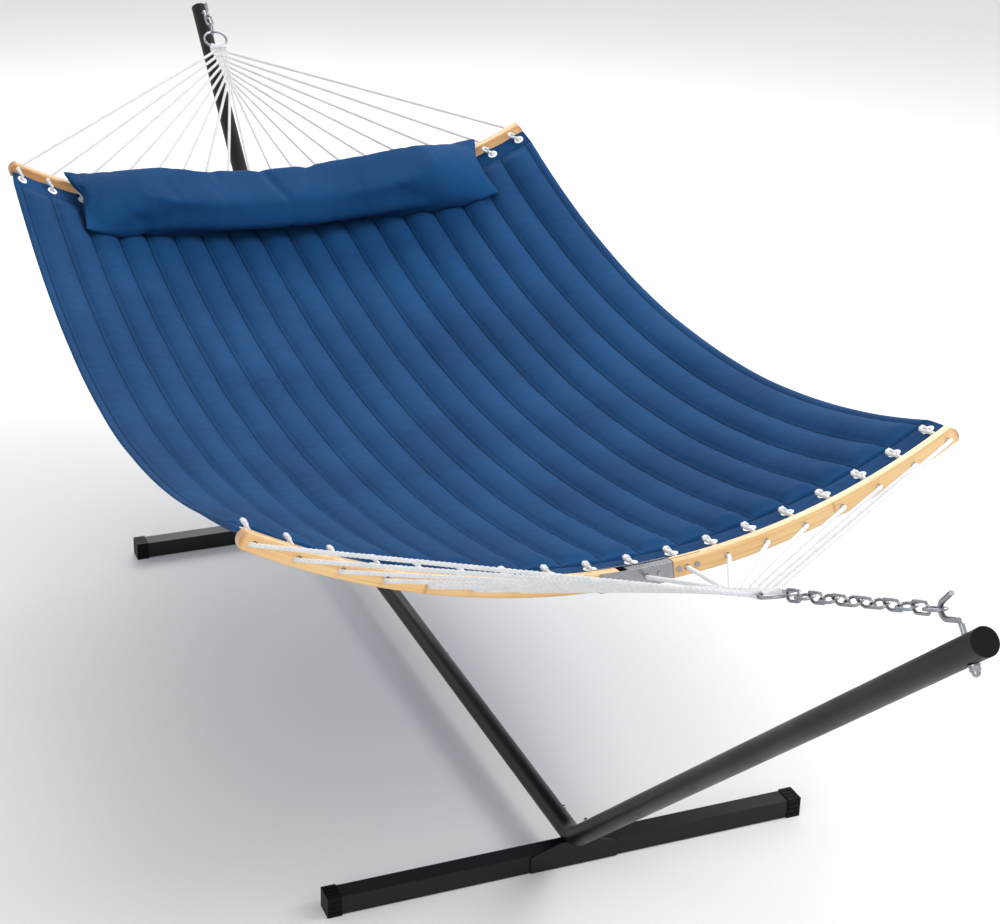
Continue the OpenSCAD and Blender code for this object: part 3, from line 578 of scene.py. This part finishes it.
def weave_routes(name):
    end, root = ENDS[name], RING_R + RING_WIRE / 2
    routes = []
    rows = [leaving(i) for i in range(HOLES // 2)]
    for i in range(HOLES):
        reach = leaving(i)
        side = -1 if i < HOLES / 2 else 1
        lane = side * (weave_half(reach) - 0.0015)
        steps = np.arange(-0.010, reach, 0.0035)
        wave = [(-1) ** i * 0.0017 * math.cos(math.pi * (d - rows[0]) / (rows[1] - rows[0]))
                for d in steps]
        routes.append([line_point(end, name, root + d, lane, w) for d, w in zip(steps, wave)])
    for number, d in enumerate(rows):
        half = weave_half(d) + 0.001
        count = max(6, int(half * 2 / 0.0012))
        ys = np.linspace(-half, half, count)
        lanes = (WEAVE_W / 2) / (HOLES / 2)
        routes.append([line_point(end, name, root + d, y,
                                  0.0024 * math.cos(math.pi * (y / lanes + number))) for y in ys])
    for i in range(HOLES):
        angle = (i - (HOLES - 1) / 2) * math.radians(4.1)
        loop = []
        for turn in np.linspace(-0.62 * math.pi, 0.62 * math.pi, 10):
            out = RING_R - 0.0058 * math.cos(turn)
            loop.append(line_point(end, name, out * math.cos(angle), out * math.sin(angle),
                                   0.0058 * math.sin(turn)))
        lane = (i - (HOLES - 1) / 2) * (WEAVE_W / HOLES)
        tail = [line_point(end, name, root + 0.004, lane, lift) for lift in (-0.0030, 0.0030)]
        routes.append(smooth_route([tail[0], *loop, tail[1]], 2))
    return routes


for name in ENDS:
    weave = make_ropes(f"{name}_woven_end", weave_routes(name), WEAVE_ROPE, 0.02, 0.003)
    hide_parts(f"{name}_weave")
    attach(weave, "hammock")

# %% [markdown]
# ## Blue cloth
# The cover is a plain-woven polyester: a dull, deep blue, with almost no shine of its own.
# The cloth carries its own map in metres, so the threads follow the cloth however it hangs. Noise
# stretched across the channels gives the small creases that stitching pulls in. Each seam is
# darker: partly its stitching thread, partly painted shade in the seam's groove.

# %% Cloth finishes
SIDE_HEM, CHANNELS = 0.018, 18
FLAT_COVER, CHANNEL_SWELL, HEM_SEAM = 0.0016, 0.0165, 0.0008
CHANNEL_W = (BED_W - 2 * SIDE_HEM) / CHANNELS


def weave_height(bench, along, across, thread):
    warp = (along * (math.pi / thread)).maths("SINE").maths("ABSOLUTE")
    weft = (across * (math.pi / thread)).maths("SINE").maths("ABSOLUTE")
    return warp + weft


def blue_cover(bench, along, across, crease_scale, seam_thread_and_shade):
    threads = weave_height(bench, along, across, 0.0009)
    broad = bench.noise(bench.vector(along, across, 0.0), 3.5, 3)
    crease = bench.noise(bench.vector(along * crease_scale[0], across * crease_scale[1], 0.0),
                         1.0, 3, 0.55)
    slub = bench.noise(bench.vector(along * 30, across * 900, 0.0), 1.0, 2)
    tone = bench.blend(bench.between(broad, 0.3, 0.7), colour(10, 54, 97), colour(17, 66, 112))
    tone = bench.blend(bench.between(slub, 0.3, 0.75, 0.0, 0.35), tone, colour(22, 76, 124))
    # darker blue along the seams: the stitching thread, plus painted shade in the seam's groove
    tone = bench.blend(seam_thread_and_shade * 0.8, tone, colour(6, 22, 44))
    relief = bench.bump(crease - seam_thread_and_shade * 0.6, 0.0035, 0.55)
    return {"Base Color": tone, "Roughness": bench.between(slub, 0.2, 0.8, 0.78, 0.9),
            "Normal": bench.bump(threads, 0.00025, 0.35, relief), "Sheen Weight": 0.015,
            "Sheen Roughness": 0.5, "Specular IOR Level": 0.1}


def quilt_cover(bench):
    along, across, _ = bench.parts(bench.add("ShaderNodeUVMap", {"uv_map": "cloth"}))
    channel = ((across - SIDE_HEM) / CHANNEL_W).maths("FRACT")
    to_seam = ((channel - 0.5).maths("ABSOLUTE") - 0.5).maths("ABSOLUTE") * CHANNEL_W
    # seam band, strongest on each stitch: stitching thread plus painted shade in the groove
    stitched = bench.between((along * (1 / 0.0045)).maths("FRACT"), 0.55, 0.7, 1.0, 0.35)
    seam_thread_and_shade = bench.between(to_seam, 0.0004, 0.0026, 1.0, 0.0) * stitched
    return blue_cover(bench, along, across, (26, 9), seam_thread_and_shade)


def pillow_cover(bench):
    x, y, z = bench.parts(place_of(bench))
    return blue_cover(bench, x + z * 0.3, y, (9, 16), (x * 0.0))


def hem_cover(bench):
    along, across, _ = bench.parts(bench.add("ShaderNodeUVMap", {"uv_map": "cloth"}))
    return blue_cover(bench, along, across, (20, 40), along * 0.0)


def sewing_thread(bench):
    cloud = bench.noise(place_of(bench), 300, 2)
    return {"Base Color": bench.blend(cloud, colour(12, 40, 74), colour(24, 62, 104)),
            "Roughness": bench.between(cloud, 0.3, 0.7, 0.6, 0.75)}


quilt_blue = finish_of("quilt_blue", quilt_cover)
pillow_blue = finish_of("pillow_blue", pillow_cover)
hem_blue = finish_of("hem_blue", hem_cover)
blue_thread = finish_of("blue_thread", sewing_thread)
print("a channel is", round(CHANNEL_W * 1000, 1), "mm wide")

# %% [markdown]
# ## The quilted bed
# Two covers are sewn together along seventeen seams with wadding between, so each channel swells
# like a long, flat tube. The bed hangs from its hems: it follows the bars' curve at each end and
# is a flatter trough in the middle. One rule gives every point of it, so it is built as a grid: first
# the hanging middle surface, then each cover is pushed off it by how full the channel is there.
# Seams pull the cloth in, which puckers it, so small ripples run out from each seam and fade.

# %% The middle surface of the bed
TROUGH_A = 4 * TROUGH / BED_W + (4 * TROUGH / BED_W) ** 3 / 12
TROUGH_R = BED_W / 2 / TROUGH_A


def hem_inner(end, v):
    return hem_point(end, v * BED_W / 2, HEM_W + HEM_SEAM, 0)


def bed_middle(u, v):
    far_place, near_place = hem_inner(FAR_END, v), hem_inner(NEAR_END, v)
    hang = 4 * u * (1 - u)
    straight = far_place * (1 - u) + near_place * u
    rim = (1 - u) * hem_inner(FAR_END, 1)[2] + u * hem_inner(NEAR_END, 1)[2]
    wide = TROUGH_R * math.sin(TROUGH_A * v)
    deep = rim - TROUGH_R * (math.cos(TROUGH_A * v) - math.cos(TROUGH_A))
    return np.array([straight[0], (1 - hang) * straight[1] + hang * wide,
                     (1 - hang) * straight[2] + hang * deep - BED_SAG * hang])


def smooth_noise(rows, columns, cells_u, cells_v, seed):
    """Seeded value noise on a grid, between -1 and 1."""
    knots = np.random.default_rng(seed).uniform(-1, 1, (cells_u + 2, cells_v + 2))
    u = np.linspace(0, cells_u, rows, endpoint=False)
    v = np.linspace(0, cells_v, columns, endpoint=False)
    iu, iv = u.astype(int), v.astype(int)
    fu, fv = [(t * t * (3 - 2 * t)) for t in (u - iu, v - iv)]
    fu, fv = fu[:, None], fv[None, :]
    pick = lambda a, b: knots[np.ix_(iu + a, iv + b)]
    return ((pick(0, 0) * (1 - fu) + pick(1, 0) * fu) * (1 - fv)
            + (pick(0, 1) * (1 - fu) + pick(1, 1) * fu) * fv)


ROWS, PER_CHANNEL = 250, 10
columns_y = ([0.0, 0.004, 0.009, 0.014]
             + [SIDE_HEM + (c + k / PER_CHANNEL) * CHANNEL_W
                for c in range(CHANNELS) for k in range(PER_CHANNEL)]
             + [BED_W - SIDE_HEM, BED_W - 0.014, BED_W - 0.009, BED_W - 0.004, BED_W])
columns_y = np.array(columns_y)
rows_u = np.linspace(0, 1, ROWS)
middle = np.array([[bed_middle(u, 2 * y / BED_W - 1) for y in columns_y] for u in rows_u])
bed_length = float(np.linalg.norm(np.diff(middle[:, len(columns_y) // 2], axis=0), axis=1).sum())
print("bed grid:", middle.shape[:2], "length along its middle:", round(bed_length, 3), "m")

# %% Swell the channels and close the slab
def fullness(u_metres, y):
    """How far each cover stands off the middle surface, in metres."""
    rows, columns = len(u_metres), len(y)
    inside = (y > SIDE_HEM) & (y < BED_W - SIDE_HEM)
    place = np.clip((y - SIDE_HEM) / CHANNEL_W, 0, CHANNELS - 1e-6)
    channel = place.astype(int)
    across = place - channel
    to_seam = np.minimum(across, 1 - across) * CHANNEL_W
    dome = np.where(inside, np.sin(np.pi * across) ** 0.62, 0)[None, :]
    long_swell = smooth_noise(rows, CHANNELS, 9, CHANNELS, 3)[:, channel]
    taper = np.minimum(u_metres, u_metres[-1] - u_metres)
    ends = np.clip(taper / 0.035, 0, 1)[:, None]
    ends = ends * ends * (3 - 2 * ends)
    swollen = FLAT_COVER + CHANNEL_SWELL * dome * (1 + 0.16 * long_swell) * (0.25 + 0.75 * ends)
    phase = smooth_noise(rows, CHANNELS, 14, CHANNELS, 5)[:, channel] * 5 + channel[None, :] * 2.1
    pucker = np.sin(u_metres[:, None] * 2 * np.pi / 0.041 + phase)
    near_seam = np.exp(-to_seam / 0.012) * (to_seam > 0.0005) * inside
    broken = 0.5 + 0.5 * smooth_noise(rows, columns, 40, 24, 9)
    tucks = np.exp(-taper / 0.03)[:, None] * np.sin(np.pi * across * 3)[None, :] * 0.0012 * inside
    crease = smooth_noise(rows, columns, 120, 60, 11) * 0.0007 * inside
    rolled = 0.0032 * np.sin(np.pi * np.clip(np.minimum(y, BED_W - y) / SIDE_HEM, 0, 1))[None, :]
    drawn_in = 0.0011 * pucker * near_seam[None, :] * broken
    return swollen + drawn_in + tucks * ends + crease + rolled * ~inside


def normals_of(grid):
    along_u, along_v = np.gradient(grid, axis=0), np.gradient(grid, axis=1)
    n = np.cross(along_u, along_v)
    return n / np.linalg.norm(n, axis=2, keepdims=True)


def slab(name, top, under, u_metres, y, material):
    """A closed slab from two grids of points, with a cloth map in metres."""
    rows, columns = top.shape[:2]
    count = rows * columns
    places = np.concatenate([top.reshape(-1, 3), under.reshape(-1, 3)])
    number = np.arange(count).reshape(rows, columns)
    a, b, c, d = (number[:-1, :-1], number[1:, :-1], number[1:, 1:], number[:-1, 1:])
    upper = np.stack([a, b, c, d], -1).reshape(-1, 4)
    lower = upper[:, ::-1] + count
    loop = np.concatenate([number[0, :-1], number[:-1, -1], number[-1, :0:-1], number[:0:-1, 0]])
    after = np.roll(loop, -1)
    wall = np.stack([loop, after, after + count, loop + count], -1)
    faces = np.concatenate([upper, lower, wall])
    mesh = bpy.data.meshes.new(name)
    mesh.from_pydata(places.tolist(), [], faces.tolist())
    grid_u, grid_v = np.meshgrid(u_metres, y, indexing="ij")
    flat = np.concatenate([np.stack([grid_u, grid_v], -1).reshape(-1, 2)] * 2)
    layer = mesh.uv_layers.new(name="cloth")
    layer.data.foreach_set("uv", flat[faces.reshape(-1)].reshape(-1).astype(np.float32))
    mesh.materials.append(material)
    mesh.shade_smooth()
    made = bpy.data.objects.new(name, mesh)
    bpy.context.scene.collection.objects.link(made)
    return made


def face_outwards(piece):
    solid = bmesh.new()
    solid.from_mesh(piece.data)
    bmesh.ops.remove_doubles(solid, verts=solid.verts, dist=1e-6)
    bmesh.ops.recalc_face_normals(solid, faces=solid.faces)
    solid.to_mesh(piece.data)
    volume = solid.calc_volume()
    solid.free()
    return volume


u_metres = rows_u * bed_length
stand_off = fullness(u_metres, columns_y)[..., None]
up_from_bed = normals_of(middle)
up_from_bed *= np.sign(up_from_bed[..., 2:3])
sway = smooth_noise(len(rows_u), len(columns_y), 12, 9, 21)[..., None] * 0.0015
hold = (4 * rows_u * (1 - rows_u))[:, None, None]
middle = middle + up_from_bed * sway * hold
bed = slab("quilted_bed", middle + up_from_bed * stand_off,
           middle - up_from_bed * stand_off * 0.75, u_metres, columns_y, quilt_blue)
print("bed volume in litres:", round(face_outwards(bed) * 1000, 1))
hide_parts("quilt")
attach(bed, "hammock")

# %% [markdown]
# ## The hems
# Each end of the bed is a flat, doubled hem with a row of eyelets. A hem with holes in it is easiest
# as a row of tiles: each tile is a plate with one round hole, made by blending a circle into a
# rectangle. Tiles meet edge to edge, so merging the doubles sews them into one strip.

# %% Hem tiles
HOLE_R, RINGS, SPOKES = 0.0078, 6, 40


def tile_outline(angle, left, right, near, beyond):
    """Where a ray from the hole at this angle meets the tile's rectangle."""
    c, s = math.cos(angle), math.sin(angle)
    reach = min((right if c > 0 else left) / max(abs(c), 1e-9),
                (beyond if s > 0 else near) / max(abs(s), 1e-9))
    return reach * c, reach * s


def hem_strip(name):
    end = ENDS[name]
    places, faces, flat = [], [], []
    for i in range(HOLES):
        along = hole_along(i)
        left = hole_pitch / 2 if i else along + BED_W / 2
        right = hole_pitch / 2 if i < HOLES - 1 else BED_W / 2 - along
        corners = [math.atan2(s, c) for c, s in ((right, HEM_W - EYELET_IN), (-left, HEM_W - EYELET_IN),
                                                  (-left, -EYELET_IN), (right, -EYELET_IN))]
        angles = sorted([2 * math.pi * k / SPOKES for k in range(SPOKES)]
                        + [a % (2 * math.pi) for a in corners])
        first = len(places)
        for face_up in (1, -1):
            for ring in range(RINGS + 1):
                t = ring / RINGS
                for angle in angles:
                    ox, oy = tile_outline(angle, left, right, EYELET_IN, HEM_W - EYELET_IN)
                    x = HOLE_R * math.cos(angle) * (1 - t) + ox * t
                    y = HOLE_R * math.sin(angle) * (1 - t) + oy * t
                    inward = EYELET_IN + y
                    slack = 0.0016 * math.cos(2 * math.pi * x / hole_pitch) * (inward < HEM_W * 0.9)
                    edge = min(inward, HEM_W - inward)
                    thick = HEM_T / 2 * (0.55 + 0.45 * min(1, edge / 0.005))
                    pull = -0.0018 * math.cos(2 * math.pi * x / hole_pitch) * max(0, 1 - inward / 0.02)
                    up = face_up * thick - slack * 0.3
                    places.append(hem_point(end, along + x, inward + pull, up))
                    flat.append((along + x, inward))
        n, half = len(angles), (RINGS + 1) * len(angles)
        for ring in range(RINGS):
            for k in range(n):
                a, b = first + ring * n + k, first + ring * n + (k + 1) % n
                faces.append((a, a + n, b + n, b))
                faces.append((a + half, b + half, b + half + n, a + half + n))
        for k in range(n):
            a, b = first + k, first + (k + 1) % n
            faces.append((a, b, b + half, a + half))
            a, b = first + RINGS * n + k, first + RINGS * n + (k + 1) % n
            mid_x = (flat[a][0] + flat[b][0]) / 2 - along
            joins_next = abs(mid_x - right) < 1e-6 and i < HOLES - 1
            joins_last = abs(mid_x + left) < 1e-6 and i
            if not joins_next and not joins_last:
                faces.append((a, a + half, b + half, b))
    mesh = bpy.data.meshes.new(name + "_hem_cloth")
    mesh.from_pydata([tuple(p) for p in places], [], faces)
    layer = mesh.uv_layers.new(name="cloth")
    for loop in mesh.loops:
        layer.data[loop.index].uv = flat[loop.vertex_index]
    mesh.materials.append(hem_blue)
    made = bpy.data.objects.new(name + "_hem_cloth", mesh)
    bpy.context.scene.collection.objects.link(made)
    print(made.name, "volume in litres:", round(face_outwards(made) * 1000, 3))
    made.data.shade_smooth()
    return made


for name in ENDS:
    hem = hem_strip(name)
    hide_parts(f"{name}_hem")
    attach(hem, "hammock")

# %% [markdown]
# ## The pillow
# A pillow is two flat covers sewn together round their rim and stuffed. Here the half-full shape is
# drawn first, from a rule: thick in the middle, thin at the rim, a little pulled in at its sides. It
# follows a curve close to the bar's. A short simulation then fills it out, folds are pressed in by a
# second rule, and last it is laid on the bed, which flattens it underneath.

# %% The pillow before it is stuffed
PILLOW_L, PILLOW_W, PILLOW_SLOPE = 1.130, 0.262, math.radians(13)
PILLOW_FROM_BAR, PILLOW_LIFT = 0.068, 0.016
PILLOW_LEAN, PILLOW_R = math.radians(20), CURVE_R * 1.05
PILLOW_LOW = (CURVE_R * (math.cos(HALF_ARC) - 1) + BAR_H / 2 + PILLOW_LIFT
              - PILLOW_FROM_BAR * math.tan(PILLOW_SLOPE))


def turned(out, up, angle):
    return (out * math.cos(angle) - up * math.sin(angle),
            out * math.sin(angle) + up * math.cos(angle))


def pillow_point(along, across, up):
    """A point over the pillow's own flat underside; across is towards the ring."""
    out, high = turned(across, up, PILLOW_SLOPE - PILLOW_LEAN)
    angle = along / PILLOW_R
    rise = PILLOW_R - (PILLOW_R - high) * math.cos(angle)
    out, rise = turned(out, rise, PILLOW_LEAN)
    x, z = turned(out - PILLOW_FROM_BAR, rise + PILLOW_LOW, TILT)
    return np.array([-(abs(FAR_END[0]) + x), (PILLOW_R - high) * math.sin(angle),
                     FAR_END[1] + z])


def half_full_pillow(cells_long, cells_wide, half_thick):
    places, faces = [], []
    along = np.linspace(-1, 1, cells_long + 1)
    across = np.linspace(-1, 1, cells_wide + 1)
    for face_up in (1, -1):
        for a in along:
            for w in across:
                rim = (1 - abs(a) ** 8) * (1 - abs(w) ** 4)
                drawn = 1 - 0.012 * (1 - w * w) * a ** 6
                tucked = 1 - 0.09 * abs(a) ** 14 - 0.03 * abs(a) ** 3
                high = MIDDLE_UP + face_up * half_thick * max(rim, 0.0) ** 0.6
                places.append(pillow_point(a * drawn * PILLOW_L / 2,
                                           w * tucked * PILLOW_W / 2, high))
    row, count = cells_wide + 1, (cells_long + 1) * (cells_wide + 1)
    for i in range(cells_long):
        for j in range(cells_wide):
            a = i * row + j
            faces.append((a, a + row, a + row + 1, a + 1))
            faces.append((a + count, a + 1 + count, a + row + 1 + count, a + row + count))
    mesh = bpy.data.meshes.new("pillow_cover")
    mesh.from_pydata([tuple(p) for p in places], [], faces)
    made = bpy.data.objects.new("pillow_cover", mesh)
    bpy.context.scene.collection.objects.link(made)
    face_outwards(made)
    return made


CELLS_LONG, CELLS_WIDE, HALF_THICK, MIDDLE_UP = 128, 30, 0.033, 0.038
pillow = half_full_pillow(CELLS_LONG, CELLS_WIDE, HALF_THICK)
print("half-full pillow:", len(pillow.data.vertices), "points")

# %% [markdown]
# Blender's Cloth with pressure pushes the covers out. Gravity is off, because the pillow is nearly
# weightless against its own filling, and no point is pinned. It runs for `FRAMES` frames, settled
# or not. Each point's movement is then cut to `FURTHEST`, so that it can't drift or burst. About
# three points in four reach that limit, so the simulation says which way the covers go, and the
# limit says how far most of them get. The result is copied into the mesh, so nothing is left to
# simulate.

# %% Stuff the pillow
def stuff(piece, pressure, frames, furthest):
    cloth = piece.modifiers.new("stuffing", "CLOTH")
    settings = cloth.settings
    settings.use_pressure, settings.uniform_pressure_force = True, pressure
    settings.quality, settings.mass = 6, 0.25
    settings.tension_stiffness = settings.compression_stiffness = 25
    settings.shear_stiffness, settings.bending_stiffness = 12, 0.25
    settings.effector_weights.gravity = 0
    scene = bpy.context.scene
    cloth.point_cache.frame_start, cloth.point_cache.frame_end = 1, frames
    before = np.array([v.co for v in piece.data.vertices])
    for step in range(1, frames + 1):
        scene.frame_set(step)
    shown = piece.evaluated_get(bpy.context.evaluated_depsgraph_get()).to_mesh()
    after = np.array([v.co for v in shown.vertices])
    piece.modifiers.remove(cloth)
    scene.frame_set(1)
    move = after - before
    far = np.linalg.norm(move, axis=1, keepdims=True)
    after = before + move * np.minimum(1, furthest / np.maximum(far, 1e-9))
    piece.data.vertices.foreach_set("co", after.reshape(-1))
    piece.data.update()
    return float(far.max())


PRESSURE, FRAMES, FURTHEST = 6.0, 22, 0.03
moved = stuff(pillow, PRESSURE, FRAMES, FURTHEST)
print("furthest any point moved, before the limit:", round(moved * 1000, 1), "mm")

# %% Lay the pillow on the bed and the hem
def surface_below(pieces):
    trees = [BVHTree.FromPolygons([v.co for v in p.data.vertices],
                                  [tuple(f.vertices) for f in p.data.polygons]) for p in pieces]

    def height(place):
        hits = [t.ray_cast(Vector((place[0], place[1], 2.0)), Vector((0, 0, -1)))[0] for t in trees]
        hits = [h.z for h in hits if h is not None]
        return max(hits) if hits else -1.0
    return height


def subdivide(piece, layers):
    modifier = piece.modifiers.new("finer", "SUBSURF")
    modifier.levels = modifier.render_levels = layers
    shown = piece.evaluated_get(bpy.context.evaluated_depsgraph_get())
    mesh = bpy.data.meshes.new_from_object(shown)
    piece.modifiers.remove(modifier)
    piece.data = mesh
    mesh.name = piece.name


def crease(piece, seed):
    """Soft folds that run across the pillow, deepest by its middle, where it bends most."""
    piece.data.update()
    places = np.array([v.co for v in piece.data.vertices])
    outwards = np.array([v.normal for v in piece.data.vertices])
    inward = places[:, 0] - places[:, 0].mean()
    pick = np.random.default_rng(seed)
    depth = np.zeros(len(places))
    for middle, width, deep in ([(-0.10, 0.017, 0.005), (-0.03, 0.014, 0.007), (0.05, 0.016, 0.006)]
                                + [(pick.uniform(-0.54, 0.54), pick.uniform(0.008, 0.02),
                                    pick.uniform(0.001, 0.003)) for _ in range(24)]):
        slant = pick.uniform(-0.7, 0.7) * inward
        reach = np.exp(-((inward - pick.uniform(-0.12, 0.12)) / pick.uniform(0.05, 0.1)) ** 2)
        depth += deep * reach * np.exp(-((places[:, 1] - middle - slant) / width) ** 2)
    piece.data.vertices.foreach_set("co", (places - outwards * depth[:, None]).reshape(-1))
    return float(depth.max())


subdivide(pillow, 1)
print("deepest crease:", round(crease(pillow, 11) * 1000, 1), "mm")
bed_height = surface_below([bed, bpy.data.objects["far_hem_cloth"]])
points = np.array([v.co for v in pillow.data.vertices])
lowest_gap = 0.0012
lifted = 0
for number, place in enumerate(points):
    floor_here = bed_height(place) + lowest_gap
    bar_top = bar_point(FAR_END, CURVE_R * math.asin(place[1] / CURVE_R), 0, BAR_H / 2 + 0.003)
    if abs(place[0] - bar_top[0]) < BAR_T / 2 + 0.02:
        floor_here = max(floor_here, bar_top[2])
    if place[2] < floor_here:
        points[number, 2] = floor_here
        lifted += 1
pillow.data.vertices.foreach_set("co", points.reshape(-1))
pillow.data.materials.clear()
pillow.data.materials.append(pillow_blue)
pillow.data.shade_smooth()
print("points laid on the bed:", lifted, "of", len(points))
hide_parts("pillow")
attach(pillow, "pillow")

# %% [markdown]
# ## Stitches along the hems
# Each hem is held by two rows of lock stitches. A stitch is a tiny rounded bar, repeated hundreds of
# times along a line, which is a job for Geometry Nodes: resample the line at the stitch spacing, put
# a low-detail bead on each point turned along the line, and realise them.

# %% The stitch tree
def stitch_tree():
    tree = bpy.data.node_groups.new("stitch_row", "GeometryNodeTree")
    tree.interface.new_socket("Line", in_out="INPUT", socket_type="NodeSocketGeometry")
    for name in ("Spacing", "Length", "Thickness"):
        tree.interface.new_socket(name, in_out="INPUT", socket_type="NodeSocketFloat")
    tree.interface.new_socket("Stitches", in_out="OUTPUT", socket_type="NodeSocketGeometry")
    bench = Bench(tree)
    line, spacing, length, thickness = (bench.add("NodeGroupInput", {}, {}, n) for n in range(4))
    even = bench.add("GeometryNodeResampleCurve", {"mode": "LENGTH"}, {"Curve": line, "Length": spacing})
    tangent = bench.add("GeometryNodeInputTangent")
    along = bench.add("FunctionNodeAlignEulerToVector", {"axis": "X"}, {"Vector": tangent})
    bead = bench.add("GeometryNodeMeshIcoSphere", {}, {"Radius": 0.5, "Subdivisions": 1})
    dots = bench.add("GeometryNodeInstanceOnPoints", {}, {
        "Points": even, "Instance": bead, "Rotation": along,
        "Scale": bench.vector(length, thickness, thickness * 0.7)})
    real = bench.add("GeometryNodeRealizeInstances", {}, {"Geometry": dots})
    done = bench.add("GeometryNodeSetMaterial", {}, {"Geometry": real, "Material": blue_thread})
    tree.links.new(done.socket, tree.nodes.new("NodeGroupOutput").inputs[0])
    return tree


stitch_row = stitch_tree()
for name, end in ENDS.items():
    data = bpy.data.curves.new(name + "_stitch_lines", "CURVE")
    data.dimensions = "3D"
    for inward in (HEM_W - 0.006, HEM_W - 0.0105):
        spline = data.splines.new("POLY")
        reach = np.linspace(-BED_W / 2 + 0.004, BED_W / 2 - 0.004, 160)
        spline.points.add(len(reach) - 1)
        for point, along in zip(spline.points, reach):
            point.co = (*hem_point(end, along, inward, HEM_T / 2 + 0.0001), 1)
    source = bpy.data.objects.new(name + "_hem_stitches", data)
    bpy.context.scene.collection.objects.link(source)
    stitches = run_tree(source, stitch_row, {"Spacing": 0.0045, "Length": 0.0034, "Thickness": 0.0009})
    print(stitches.name, len(stitches.data.polygons), "faces")
    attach(stitches, "hammock")
